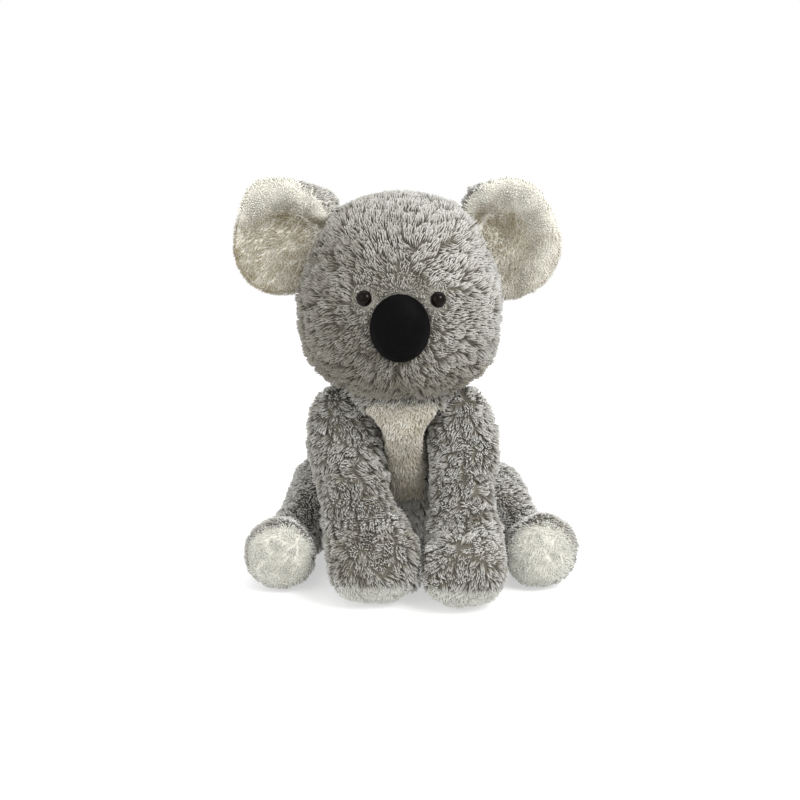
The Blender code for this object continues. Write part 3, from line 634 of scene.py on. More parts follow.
class Pile:
    """Locks rooted on one backing cloth, to be sorted into pieces"""

    def __init__(self, base, body, own, hard=(), seed=1, spacing_share=1.0):
        fur = bpy.context.scene.koala_fur
        spacing = fur.spacing * spacing_share
        self.picker = np.random.default_rng(seed + 50)
        self.body = body
        self.roots, self.normals = scattered(base.data, spacing, seed)
        tree, owner = tree_of(own)
        hits = [tree.find_nearest(place) for place in self.roots.tolist()]
        self.node = np.array([own[owner[hit[2]]] for hit in hits])
        self.depth = np.full(len(self.roots), fur.sink)
        self.keep_open(hard)
        self.centres, self.centre_normals = scattered(base.data, fur.clump, seed + 7)
        self.clump = nearest(self.roots, self.centres)
        self.seed = seed

    def keep_open(self, hard):
        """Leaves out roots that nothing uncovers, and notes how far the others may reach"""
        room = np.zeros(len(self.roots))
        self.blockers = []
        groups = frame["record"]["behaviour"]["bodies"]
        hidden = set(frame["record"]["physics"]["no_collision_nodes"])
        for other, nodes in groups.items():
            if other != self.body:
                shown = [node for node in nodes if node not in hidden]
                self.blockers.append((other, tree_of(shown)[0]))
        for end in (None, 0, 1):
            here = np.full(len(self.roots), 0.03)
            for other, tree in self.blockers:
                matrix = pose_of(other, end).inverted() @ pose_of(self.body, end)
                starts, ways = moved(matrix, self.roots, self.normals)
                here = np.minimum(here, struck(tree, starts, ways, 0.03))
            room = np.maximum(room, here)
        kept = room > self.depth + 1.4 * MM
        self.hard = tree_of(hard)[0] if hard else None
        if self.hard:
            over = struck(self.hard, self.roots, self.normals, 0.02)
            kept &= over > 0.0199
        for name in ("roots", "normals", "node", "depth"):
            setattr(self, name, getattr(self, name)[kept])

    def comb(
            self, flow, lean, length, tone, pull=0.6, ruffle=0.35, part=None, flat=1.0, mottle=0.10):
        """Sets every lock's tip and bend, given numbers or functions of the root and normal"""
        picker = self.picker
        counts = len(self.roots)

        def given(value, places, normals):
            return value(places, normals) if callable(value) else np.full(len(places), value)

        def parted(places, normals):
            if part is None:
                return np.zeros(len(places)), np.zeros((len(places), 3))
            near, aside = partings(places, GRAIN, flat, self.seed + PARTING_SEED)
            depth = given(part, places, normals)
            return near * depth, aside * depth[:, None]

        def laid(places, normals, jitter, stretch):
            near, aside = parted(places, normals)
            stretch = stretch * (1.0 - 0.30 * near)
            lay = across(flow(places, normals), normals)
            lay = unit(lay) + across(jitter + aside * 1.3, normals)
            tilt = given(lean, places, normals)[:, None]
            way = unit(normals * np.cos(tilt) + unit(lay) * np.sin(tilt))
            return way * (given(length, places, normals) * stretch)[:, None]

        swirl = noise_way(self.centres, 14.0 * MM, self.seed) * ruffle * 3.0
        swirl += picker.normal(0.0, ruffle * 0.8, (len(self.centres), 3))
        stretch = np.clip(picker.normal(1.0, 0.09, len(self.centres)), 0.75, 1.15)
        clump_reach = laid(self.centres, self.centre_normals, swirl, stretch)
        own_way = swirl[self.clump] * 0.75 + picker.normal(0.0, 0.16, (counts, 3))
        own_stretch = stretch[self.clump] * np.clip(picker.normal(1.0, 0.10, counts), 0.6, 1.15)
        reach = laid(self.roots, self.normals, own_way, own_stretch)
        centre = self.centres[self.clump]
        gathered = centre + clump_reach[self.clump] * own_stretch[:, None]
        gathered += (self.roots - centre) * 0.22
        share = np.clip(picker.normal(pull, 0.18, counts), 0.0, 0.95)[:, None]
        tips = (self.roots + reach) * (1.0 - share) + gathered * share
        longest = self.reach(tips - self.roots)
        tips = self.roots + (tips - self.roots) * longest[:, None]
        height = np.linalg.norm(tips - self.roots, axis=1)[:, None]
        self.tips = tips
        self.bends = self.roots + (tips - self.roots) * 0.42 + self.normals * height * 0.17
        shade = tone(self.roots, self.normals)
        # Darker along the partings: painted shade in the gaps where the pile parts
        shade = shade - 0.62 * parted(self.roots, self.normals)[0]
        shade = shade + picker.normal(0.0, mottle, len(self.centres))[self.clump]
        shade = shade + picker.normal(0.0, mottle * 0.6, counts)
        self.tone = np.clip(shade, 0.0, 0.999)

    def reach(self, ways):
        """The share of its length that each lock keeps before it goes into what is next to it"""
        length = np.linalg.norm(ways, axis=1)
        share = np.ones(len(ways))
        heading = unit(ways)
        for other, tree in self.blockers:
            room = struck(tree, self.roots, heading, 0.016) + 2.2 * MM
            share = np.minimum(share, room / length)
        if self.hard:
            room = struck(self.hard, self.roots, heading, 0.016)
            share = np.minimum(share, np.where(room < 0.0159, (room - 0.2 * MM) / length, 1.0))
        return np.clip(share, 0.15, 1.0)

    def piece(self, name, chosen, material, slot, thickness=1.0):
        """One mesh of the chosen locks"""
        fur = bpy.context.scene.koala_fur
        corners, faces, rank = LOCK
        roots = self.roots[chosen]
        normals = self.normals[chosen]
        tips = self.tips[chosen]
        bends = self.bends[chosen]
        roots = roots - normals * 0.5 * MM
        count = len(roots)
        side = unit(np.cross(tips - roots, normals) + 1e-9)
        up = unit(np.cross(side, tips - roots))
        spin = self.picker.random(count) * 2.0 * math.pi
        radius = fur.thickness * thickness * np.clip(self.picker.normal(1.0, 0.18, count), 0.6, 1.5)
        first = side * np.cos(spin)[:, None] + up * np.sin(spin)[:, None]
        second = up * np.cos(spin)[:, None] - side * np.sin(spin)[:, None]
        points = np.empty((count, len(corners), 3))
        for index, (x, y, along) in enumerate(corners):
            if along > 0.95:
                centre = tips
            elif along > 0.2:
                centre = bends
            else:
                centre = roots
            points[:, index] = centre + (first * x + second * y) * radius[:, None]
        points[:, :, 2] = rested(points[:, :, 2])
        size = len(corners)
        loops = np.concatenate([np.array(face) for face in faces])
        starts = np.cumsum([0] + [len(face) for face in faces])[:-1]
        base = np.arange(count)[:, None]
        mesh = bpy.data.meshes.new(name)
        mesh.vertices.add(count * size)
        mesh.loops.add(count * len(loops))
        mesh.polygons.add(count * len(faces))
        mesh.vertices.foreach_set("co", points.reshape(-1))
        mesh.loops.foreach_set("vertex_index", (base * size + loops).reshape(-1))
        mesh.polygons.foreach_set("loop_start", (base * len(loops) + starts).reshape(-1))
        mesh.polygons.foreach_set("use_smooth", np.ones(count * len(faces), dtype=bool))
        row = (np.floor(self.tone[chosen] * TONES) + 0.5) / TONES
        along = corners[:, 2] + rank * 0.03 * (corners[:, 2] < 0.2) + 0.03
        u = np.clip(along, 0.0, 1.0)[loops]
        v = (rank * 0.34 / TONES)[loops]
        uv = np.empty((count, len(loops), 2))
        uv[:, :, 0] = u
        uv[:, :, 1] = row[:, None] + v
        layer = mesh.uv_layers.new(name="OFBake")
        layer.data.foreach_set("uv", uv.reshape(-1))
        mesh.update()
        mesh.validate()
        mesh.materials.append(material)
        piece = bpy.data.objects.new(name, mesh)
        bpy.context.scene.collection.objects.link(piece)
        finish_piece(piece, self.body, slot, fill=0.8)
        return piece


LOCK = lock_form()


def backing(
        name, nodes, own, pale_nodes, voxel=None, sink=None, shape=None, pale_at=None):
    """Backing cloth over the stuffing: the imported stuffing, smoothed and let out to the pile's root"""
    fur = bpy.context.scene.koala_fur
    piece = merged_copy(name, nodes)
    size = voxel or fur.voxel
    apply(piece, "REMESH", mode="VOXEL", voxel_size=size, adaptivity=0.0)
    apply(piece, "SMOOTH", factor=0.5, iterations=6)
    offset = (CLOTH_INSET - fur.sink) if sink is None else -sink
    tree, owner = tree_of(own)
    points = points_of(piece.data)
    normals = normals_of(piece.data)
    hits = [tree.find_nearest(place) for place in points.tolist()]
    pale = np.array([own[owner[hit[2]]] in pale_nodes for hit in hits]).astype(float)
    if pale_at:
        pale = np.maximum(pale, pale_at(points, normals))
    points = points + normals * offset
    if shape:
        points = shape(points, normals)
    put_points(piece.data, points)
    apply(piece, "SMOOTH", factor=0.5, iterations=3)
    points = points_of(piece.data)
    points[:, 2] = rested(points[:, 2])
    put_points(piece.data, points)
    mark = piece.data.attributes.new("pale", "FLOAT", "POINT")
    mark.data.foreach_set("value", pale)
    for face in piece.data.polygons:
        face.use_smooth = True
    piece.data.materials.clear()
    piece.data.materials.append(cloth())
    return piece


# Head


def head_flow(points, normals):
    flow = unit(across(points - NOSE_BRIDGE, normals))
    low = (1.0 - smooth_step(points[:, 2], 0.155, 0.190))[:, None]
    beside = np.tanh((points[:, :1] - HEAD_CENTRE[0]) / 0.012)
    flow = flow + low * beside * np.array([0.9, 0.0, 0.0])
    back = smooth_step(points[:, 1], 0.005, 0.045)[:, None]
    flow = flow * (1.0 - back) + across(np.tile(-UP, (len(points), 1)), normals) * back
    for eye in EYE_PLACES.values():
        away = points - eye
        distance = np.linalg.norm(away, axis=1)
        weight = (1.0 - smooth_step(distance, 0.006, 0.013))[:, None]
        round_it = np.cross(normals, unit(away)) * np.sign(soft_noise(points, 1.5 * MM, 97))[:, None]
        flow = flow * (1.0 - weight) + (unit(across(away, normals)) * 0.35 + round_it) * weight
    return flow


def head_length(points, normals):
    fur = bpy.context.scene.koala_fur
    span = np.linalg.norm(points - NOSE_BRIDGE, axis=1)
    length = fur.pile * (0.70 + 0.42 * smooth_step(span, 0.020, 0.065))
    for eye in EYE_PLACES.values():
        distance = np.linalg.norm(points - eye, axis=1)
        length = length * (0.58 + 0.42 * smooth_step(distance, 0.006, 0.014))
    return length


def head_lean(points, normals):
    span = np.linalg.norm(points - NOSE_BRIDGE, axis=1)
    lean = 52.0 + 20.0 * smooth_step(span, 0.025, 0.085)
    for eye in EYE_PLACES.values():
        lean = lean - 10.0 * (1.0 - smooth_step(np.linalg.norm(points - eye, axis=1), 0.007, 0.012))
    return np.radians(lean)


# Tone of the head's pile: paler towards the right and the top, painted light from the upper right; darker
# low on the face under the chin, painted shade; a paler ring round each eye; and random mottle
def head_light_and_tone(points, normals):
    x = (points[:, 0] - HEAD_CENTRE[0]) / HEAD_HALF[0]
    z = (points[:, 2] - HEAD_CENTRE[2]) / HEAD_HALF[2]
    shade = 0.52 + 0.35 * x + 0.18 * z + 0.12 * soft_noise(points, 22.0 * MM, 5)
    shade = shade - 0.55 * smooth_step(-z, 0.35, 0.75) * smooth_step(-points[:, 1], 0.0, 0.03)
    for eye in EYE_PLACES.values():
        distance = np.linalg.norm(points - eye, axis=1)
        shade = shade + 0.08 * hill(distance, 6.0 * MM, 2.5 * MM)
    return shade


def head_part(points, normals):
    """How deep the pile parts: least on the crown and the right cheek, where it lies smooth"""
    x = (points[:, 0] - HEAD_CENTRE[0]) / HEAD_HALF[0]
    z = (points[:, 2] - HEAD_CENTRE[2]) / HEAD_HALF[2]
    smooth = smooth_step(z, 0.40, 0.80) + smooth_step(x - 0.3 * z, 0.30, 0.70) * smooth_step(z, -0.5, 0.0)
    low = 1.0 - smooth_step(z, -0.7, -0.2)
    return (0.70 + 0.50 * low) * (1.0 - 0.75 * np.clip(smooth, 0.0, 1.0))


def head_pull(points):
    """How far the locks gather into tufts: least on the crown and most at the chin"""
    z = (points[:, 2] - HEAD_CENTRE[2]) / HEAD_HALF[2]
    return 0.64 - 0.22 * smooth_step(z, -0.3, 0.9)


def head_pale(points, normals):
    """How pale the cloth is: palest round the nose and the eyes, where the pile is short"""
    pale = 1.0 - smooth_step(np.linalg.norm(points - NOSE_BRIDGE, axis=1), 0.018, 0.036)
    for eye in EYE_PLACES.values():
        pale = np.maximum(pale, 1.0 - smooth_step(np.linalg.norm(points - eye, axis=1), 0.006, 0.013))
    return pale * 0.35


def head_form(points, normals):
    """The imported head, a little fuller at the crown, beside the ears and in the lower cheeks"""
    crown = smooth_step(normals[:, 2], 0.5, 0.95) * 3.6 * MM
    sideways = smooth_step(np.abs(normals[:, 0]), 0.2, 0.6)
    crown += smooth_step(points[:, 2], 0.232, 0.246) * sideways * 2.6 * MM
    low = hill(points[:, 2], 0.156, 0.016) * 3.2 * MM
    left = hill(points[:, 2], 0.186, 0.020) * (normals[:, 0] < 0.0) * 2.2 * MM
    cheek = smooth_step(np.abs(normals[:, 0]), 0.4, 0.9) * (low + left)
    sunk = furrow(points, FLATNESS["head"], SEEDS["head"]) * head_part(points, normals)
    return points + normals * (crown + cheek - sunk)[:, None]


# Operators


def colours():
    return bpy.context.scene.koala_colours


def grey_pile():
    found = bpy.data.materials.get("grey_pile")
    c = colours()
    return found or pile_material(
        "grey_pile", [v * 0.75 for v in c.grey_root], [v * 1.25 for v in c.grey_root],
        c.grey_dark, c.grey_light, 0.2)


def cream_pile():
    found = bpy.data.materials.get("cream_pile")
    c = colours()
    return found or pile_material(
        "cream_pile", [v * 0.8 for v in c.cream_dark], [v * 1.2 for v in c.cream_root],
        c.cream_dark, c.cream_light, 0.3)


def sole_pile():
    found = bpy.data.materials.get("sole_pile")
    c = colours()
    return found or pile_material(
        "sole_pile", [v * 0.85 for v in c.sole_dark], [v * 1.15 for v in c.sole_root],
        c.sole_dark, c.sole_light, 0.3)


def cloth():
    found = bpy.data.materials.get("backing_cloth")
    c = colours()
    # The backing under the grey pile is the grey root's colour darkened, painted shade in the gaps
    # between locks
    return found or backing_material("backing_cloth", [v * 0.7 for v in c.grey_root], c.cream_root)


class KOALA_OT_head(bpy.types.Operator):
    """Makes the head's backing cloth and its grey pile"""

    bl_idname = "koala.head"
    bl_label = "Head"

    def execute(self, context):
        base = backing(
            "head_plush", ["head_filling", "left_eye_washer", "right_eye_washer"],
            ["head_skin"], [], shape=head_form, pale_at=head_pale)
        finish_piece(base, "head", "grey_plush", "head_skin", "head_filling", fill=0.9)
        pile = Pile(
            base, "head", ["head_skin"], hard=["nose_cap", "left_eye", "right_eye"],
            seed=SEEDS["head"])
        pile.comb(
            head_flow, head_lean, head_length, head_light_and_tone, part=head_part,
            flat=FLATNESS["head"], pull=head_pull(pile.roots), mottle=0.07)
        y = pile.roots[:, 1] - HEAD_CENTRE[1]
        z = pile.roots[:, 2] - HEAD_CENTRE[2]
        face = y < -0.028
        back = y > 0.026
        grey = grey_pile()
        pile.piece("head_face_pile", face, grey, "grey_plush")
        pile.piece("head_back_pile", back, grey, "grey_plush")
        pile.piece("head_crown_pile", ~face & ~back & (z > 0.0), grey, "grey_plush")
        pile.piece("head_cheek_pile", ~face & ~back & (z <= 0.0), grey, "grey_plush")
        return {"FINISHED"}


def torso_flow(points, normals):
    middle = np.array([0.0, 0.012, 0.0])
    out = (points - middle) * np.array([1.0, 1.0, 0.0])
    return unit(out) * 0.35 - UP


class KOALA_OT_torso(bpy.types.Operator):
    """Makes the torso's backing cloth, its grey pile and the pale chest"""

    bl_idname = "koala.torso"
    bl_label = "Torso"

    def execute(self, context):
        fur = context.scene.koala_fur
        own = ["torso_skin", "chest_panel"]
        base = backing("torso_plush", ["torso_filling"], own, ["chest_panel"])
        finish_piece(
            base, "torso", "grey_plush", "torso_skin", "torso_filling", "chest_panel", fill=0.9)
        pile = Pile(base, "torso", own, seed=SEEDS["torso"])
        low_edge = 0.0500 + 0.003 * soft_noise(pile.roots, 5.0 * MM, 19)
        pale = (pile.node == "chest_panel") & (pile.roots[:, 2] > low_edge)
        pile.comb(
            torso_flow,
            math.radians(56.0),
            lambda p, n: fur.pile * (1.0 + 0.35 * smooth_step(p[:, 2], 0.105, 0.125)),
            # Tone of the grey pile: paler low down, painted light against the shade low between the front
            # legs; and random mottle
            lambda p, n: (
                1.10 - 0.38 * smooth_step(p[:, 2], 0.055, 0.075)
                + 0.10 * soft_noise(p, 22.0 * MM, 8)),
            part=lambda p, n: 0.9 - 0.5 * smooth_step(-p[:, 1], 0.0, 0.02),
            flat=FLATNESS["torso"], pull=0.5)
        back = pile.roots[:, 1] > 0.02
        pile.piece("torso_front_pile", ~pale & ~back, grey_pile(), "grey_plush")
        pile.piece("torso_back_pile", ~pale & back, grey_pile(), "grey_plush")
        pile.comb(
            torso_flow,
            math.radians(48.0),
            fur.short_pile * 1.15,
            # Tone of the pale chest: darker low on the chest, painted shade
            lambda p, n: 0.32 + 0.12 * smooth_step(p[:, 2], 0.05, 0.115),
            pull=0.4, ruffle=0.25)
        pile.piece("chest_pile", pale, cream_pile(), "cream_plush")
        return {"FINISHED"}


class KOALA_OT_arms(bpy.types.Operator):
    """Makes the front legs: backing cloth, grey pile and pale pads"""

    bl_idname = "koala.arms"
    bl_label = "Front legs"

    def execute(self, context):
        fur = context.scene.koala_fur
        for number, side in enumerate(SIDES):
            body = f"{side}_arm"
            own = [f"{side}_arm_skin", f"{side}_paw_pad"]
            start, end = SHOULDERS[side], PAWS[side]

            def creases(points, normals):
                rise = points[:, 2] + 0.25 * (points[:, 1] - end[1])
                wobble = 2.6 * MM * soft_noise(points, 16.0 * MM, 31 + number)
                deep = np.zeros(len(points))
                for index, level in enumerate(CREASES[side]):
                    fade = 0.65 + 0.5 * soft_noise(points + index * 0.1, 20.0 * MM, 41 + number)
                    deep += fade * hill(rise + wobble, level, 2.5 * MM)
                return np.clip(deep, 0.0, 1.2) * smooth_step(-normals[:, 1], -0.3, 0.3)

            def creased(points, normals):
                outward = normals[:, 0] * SIDES[side]
                rise = points[:, 2]
                top = smooth_step(rise, 0.106, 0.120)
                top *= smooth_step(outward + 1.5 * normals[:, 2], 0.3, 1.2)
                inner = smooth_step(-outward, 0.1, 0.8) * smooth_step(rise, 0.035, 0.055)
                inner *= 1.0 - smooth_step(rise, 0.110, 0.125)
                low = 1.0 - smooth_step(rise, 0.040, 0.060)
                paw = smooth_step(-outward, 0.1, 0.9) * PAW_INNER[side]
                paw += smooth_step(outward, 0.1, 0.9) * PAW_OUTER[side]
                push = low * paw - inner * ARM_SLIM[side] - creases(points, normals) * 3.0 * MM
                bulge = hill(rise, 0.090, 0.018) * ARM_OUT[side]
                push += smooth_step(outward, 0.1, 0.8) * bulge
                push -= furrow(points, FLATNESS["arm"], SEEDS[body])
                return points + normals * push[:, None] + UP * (top * SHOULDER_LIFT[side])[:, None]

            def padded(points, normals):
                under = normals @ unit(np.array([[0.0, -0.62, -0.78]]))[0]
                edge = 0.56 + 0.12 * soft_noise(points, 9.0 * MM, 61)
                edge += 0.10 * soft_noise(points, 3.0 * MM, 62)
                return ((under > edge) & (points[:, 2] < 0.021)).astype(float)

            base = backing(
                f"{side}_arm_plush", [f"{side}_arm_filling"], own,
                [f"{side}_paw_pad"], shape=creased, pale_at=padded)
            finish_piece(
                base, body, "grey_plush", f"{side}_arm_skin", f"{side}_arm_filling",
                f"{side}_paw_pad", fill=0.9)
            pile = Pile(base, body, own, seed=SEEDS[body])

            def flow(points, normals):
                way = unit((end - start)[None, :])[0]
                out = points - (start + way * ((points - start) @ way)[:, None])
                return way + unit(out) * 0.3 - UP * 0.4

            def length(points, normals):
                outward = normals[:, 0] * SIDES[side]
                low = 1.0 - smooth_step(points[:, 2], 0.035, 0.055)
                share = 0.95 - 0.18 * smooth_step(-points[:, 1], 0.05, 0.09)
                share *= 1.0 - (1.0 - low) * smooth_step(-outward, 0.2, 0.8) * ARM_SLIM[side] * 100.0
                share *= 1.0 + low * smooth_step(-outward, 0.2, 0.8) * PAW_TUFT[side]
                return fur.pile * share

            fine = Pile(base, body, own, seed=SEEDS[body] + 1, spacing_share=0.82)

            def pale_of(locks):
                return (locks.node == f"{side}_paw_pad") | (padded(locks.roots, locks.normals) > 0.5)

            pile.comb(
                flow,
                math.radians(57.0),
                length,
                # Tone of the grey pile: paler on the right front leg and on top of the shoulder, painted
                # light; darker in the creases, painted shade; paler low on the paw; and random mottle
                lambda p, n: (
                    0.84 + 0.11 * SIDES[side] + 0.10 * soft_noise(p, 20.0 * MM, 9) - 0.40 * creases(p, n)
                    + 0.22 * (1.0 - smooth_step(p[:, 2], 0.015, 0.040))
                    + 0.15 * smooth_step(p[:, 2], 0.105, 0.120)),
                pull=0.68, ruffle=0.48, part=1.15, flat=FLATNESS["arm"])
            pile.piece(f"{side}_arm_pile", ~pale_of(pile), grey_pile(), "grey_plush")
            fine.comb(
                flow,
                math.radians(60.0),
                fur.short_pile * 0.95,
                lambda p, n: 0.64 + 0.25 * soft_noise(p, 9.0 * MM, 10),
                pull=0.4, ruffle=0.5)
            fine.piece(
                f"{side}_paw_pad_pile", pale_of(fine), sole_pile(), "cream_plush", thickness=0.85)
        return {"FINISHED"}



class KOALA_OT_legs(bpy.types.Operator):
    """Makes the hind legs: backing cloth, grey pile and pale soles"""

    bl_idname = "koala.legs"
    bl_label = "Hind legs"

    def execute(self, context):
        fur = context.scene.koala_fur
        for side in SIDES:
            body = f"{side}_leg"
            own = [f"{side}_leg_skin", f"{side}_sole"]
            start, end = HIPS[side], FEET[side]

            def shaped(points, normals):
                outward = normals[:, 0] * SIDES[side]
                above = smooth_step(outward + normals[:, 2], 0.3, 1.2)
                foot = hill(points[:, 1] - end[1], 0.010, 0.020) * FOOT_TOP[side]
                haunch = smooth_step(points[:, 1], 0.000, 0.020) * smooth_step(points[:, 2], 0.04, 0.06)
                out_low = smooth_step(outward, 0.3, 0.8) * (1.0 - smooth_step(points[:, 2], 0.014, 0.028))
                push = above * (foot - haunch * HAUNCH_SLIM[side]) + out_low * FOOT_LOW[side]
                push -= furrow(points, FLATNESS["leg"], SEEDS[body]) * (1.0 - soled(points, normals))
                return points + normals * push[:, None]

            def rimmed(normals):
                turned_up = np.clip(normals[:, 0] * SIDES[side] + normals[:, 2], 0.0, 1.0)
                return normals[:, 1] > -0.42 - SOLE_RIM[side] * turned_up

            def soled(points, normals):
                facing = ~rimmed(normals) & (points[:, 1] < end[1] + 0.004)
                return facing.astype(float)

            base = backing(
                f"{side}_leg_plush", [f"{side}_leg_filling"], own,
                [f"{side}_sole"], shape=shaped, pale_at=soled)
            finish_piece(
                base, body, "grey_plush", f"{side}_leg_skin", f"{side}_leg_filling",
                f"{side}_sole", fill=0.9)
            pile = Pile(base, body, own, seed=SEEDS[body])
            fine = Pile(base, body, own, seed=SEEDS[body] + 1, spacing_share=0.82)

            def flow(points, normals):
                way = unit((end - start)[None, :])[0]
                return way - UP * 0.75 + 0.25 * SIDES[side] * np.array([1.0, 0.0, 0.0])

            def rays(points, normals):
                out = points - end
                far = smooth_step(np.linalg.norm(out, axis=1), 0.010, 0.024)[:, None]
                return unit(out) * far + noise_way(points, 7.0 * MM, 91) * 0.8 - 0.35 * UP * (1.0 - far)

            def pale_of(locks):
                panel = (locks.node == f"{side}_sole") & ~rimmed(locks.normals)
                return panel | (soled(locks.roots, locks.normals) > 0.5)

            pile.comb(
                flow,
                math.radians(70.0),
                lambda p, n: fur.pile * (1.00 - 0.36 * smooth_step(-p[:, 1], 0.02, 0.05)),
                # Tone of the grey pile: paler on the right leg, painted light from the right; and random
                # mottle
                lambda p, n: 1.04 + 0.14 * SIDES[side] + 0.10 * soft_noise(p, 20.0 * MM, 12),
                part=0.16 - 0.10 * SIDES[side], flat=FLATNESS["leg"],
                pull=0.35, ruffle=0.22, mottle=0.05)
            pile.piece(f"{side}_leg_pile", ~pale_of(pile), grey_pile(), "grey_plush")
            fine.comb(
                rays,
                math.radians(62.0),
                fur.short_pile * 0.78,
                # Tone of the soles: paler on the right sole, painted light from the right; and random
                # mottle
                lambda p, n: 0.60 + 0.08 * SIDES[side] + 0.16 * soft_noise(p, 12.0 * MM, 13),
                pull=0.25, ruffle=0.45)
            fine.piece(
                f"{side}_sole_pile", pale_of(fine), sole_pile(), "cream_plush", thickness=0.8)
        return {"FINISHED"}


def from_line(points, line):
    """Distance of each point from a line of points, seen from the front"""
    best = np.full(len(points), 1.0)
    flat = points[:, [0, 2]]
    for start, end in zip(line[:-1], line[1:]):
        start, end = np.array(start), np.array(end)
        along = np.clip((flat - start) @ (end - start) / np.sum((end - start) ** 2), 0.0, 1.0)
        best = np.minimum(best, np.linalg.norm(flat - start - along[:, None] * (end - start), axis=1))
    return best


class KOALA_OT_ears(bpy.types.Operator):
    """Makes the ears: backing cloth, pale lining and grey back"""

    bl_idname = "koala.ears"
    bl_label = "Ears"

    def execute(self, context):
        fur = context.scene.koala_fur
        for number, side in enumerate(SIDES):
            body = f"{side}_ear"
            own = [f"{side}_ear_lining", f"{side}_ear_back"]
            root, way = EAR_ROOTS[side], EAR_WAYS[side]
            middle = root + way * EAR_REACH[side]
            hollow = EAR_HOLLOWS[side]

            def dent(points):
                x = (points[:, 0] - middle[0] - hollow[0]) / hollow[2]
                z = (points[:, 2] - middle[2] - hollow[1]) / hollow[3]
                return np.exp(-(x * x + z * z))

            def folded(points, column):
                total = np.zeros(len(points))
                for fold in EAR_FOLDS[side]:
                    x = (points[:, 0] - fold[0]) / fold[2]
                    z = (points[:, 2] - fold[1]) / fold[3]
                    total += np.exp(-(x * x + z * z)) * fold[column]
                return total

            def round_ear(points):
                offset = (points - middle) * np.array([SIDES[side], 0.0, 1.0])
                return np.linalg.norm(offset, axis=1), np.arctan2(offset[:, 2], offset[:, 0])

            def shaped(points, normals):
                span, angle = round_ear(points)
                front = smooth_step(-normals[:, 1], 0.0, 0.6)
                rim = hill(span, 0.031, 0.006) * 2.0 * MM
                roll = hill(from_line(points, EAR_ROLLS[side]), 0.0, 0.0095) * EAR_ROLL[side]
                pillow = 0.6 * MM * soft_noise(points, 11.0 * MM, 81 + number)
                push = np.maximum(rim, roll) + pillow - dent(points) * hollow[4] + folded(points, 4)
                points = points.copy()
                points[:, 1] -= push * front
                high = smooth_step(points[:, 2] - middle[2], 0.008, 0.034)
                points[:, 2] += high * EAR_LIFT
                corner = smooth_step(angle, 1.9, 2.5) * smooth_step(span, 0.020, 0.032)
                points[:, 0] -= corner * SIDES[side] * EAR_CORNER[side]
                shoulder = hill(angle, 1.95, 0.32) * smooth_step(span, 0.016, 0.030)
                points[:, 2] -= shoulder * EAR_SLOPE[side]
                full = hill(angle, 0.95, 0.38) * smooth_step(span, 0.016, 0.032)
                points[:, 0] += full * SIDES[side] * EAR_FULL[side]
                points[:, 2] += full * EAR_FULL[side]
                lobe = hill(angle, -1.60, 0.50) * smooth_step(span, 0.014, 0.030)
                points[:, 2] -= lobe * EAR_LOBE[side]
                return points

            base = backing(
                f"{side}_ear_plush", own, own, [f"{side}_ear_lining"],
                voxel=2.0 * MM, sink=1.8 * MM, shape=shaped)
            finish_piece(base, body, "cream_plush", *own, fill=0.6)
            pile = Pile(base, body, own, seed=71 + number * 3, spacing_share=0.85)

            def flow(points, normals):
                span, angle = round_ear(points)
                far = smooth_step(span, 0.012, 0.028) * smooth_step(np.sin(angle), -0.1, 0.5)
                out = unit(points - middle) * far[:, None] + (way * 0.6 - UP * 0.7) * (1.0 - far)[:, None]
                return out + noise_way(points, 15.0 * MM, 95) * 0.22

            # Tone of the lining: paler on the rim and along the roll, painted light; darker in the hollow
            # under the roll, painted shade; darker on the lower half; the folds' painted highlights and
            # shadows; and random mottle
            def tone(points, normals):
                span = round_ear(points)[0]
                lowered = points - UP * EAR_LIFT * 0.8
                rim = smooth_step(span, 0.022, 0.034) * EAR_RIM_LIGHT[side]
                roll = hill(from_line(lowered, EAR_ROLLS[side]), 0.0, 0.0105)
                low = 1.0 - smooth_step(lowered[:, 2] - middle[2], 0.000, 0.018)
                shade = 0.66 + rim + 0.34 * roll - 0.62 * dent(lowered) - EAR_LOW[side] * low
                shade = shade + folded(lowered, 5)
                return shade + 0.22 * soft_noise(points, 7.0 * MM, 15)

            span, angle = round_ear(pile.roots)
            ragged = 0.8 * MM * soft_noise(pile.roots, 4.0 * MM, 17)
            edge = span + ragged - EAR_PALER[side] > np.interp(angle, EAR_BACK_SHOWN, EAR_BACK_FROM)
            edge &= (angle > EAR_BACK_SHOWN[0]) & (angle < EAR_BACK_SHOWN[-1])
            back = ((pile.node == f"{side}_ear_back") & (pile.normals[:, 1] > 0.38)) | edge
            pile.comb(
                flow,
                math.radians(66.0),
                fur.short_pile * 0.9,
                tone, pull=0.2, ruffle=0.25, mottle=0.08)
            pile.piece(
                f"{side}_ear_lining_pile", ~back, cream_pile(), "cream_plush", thickness=0.8)

            def inward(points):
                return smooth_step(round_ear(points)[1], 1.7, 2.4)

            pile.comb(
                lambda p, n: flow(p, n) * 0.3 + (way * 0.2 - UP * 0.7) * (1.0 - inward(p))[:, None],
                math.radians(73.0),
                lambda p, n: fur.pile * (0.55 + 0.25 * inward(p)),
                lambda p, n: 0.90 + 0.12 * soft_noise(p, 16.0 * MM, 16), mottle=0.06)
            pile.piece(f"{side}_ear_back_pile", back, grey_pile(), "grey_plush", thickness=1.1)
        return {"FINISHED"}


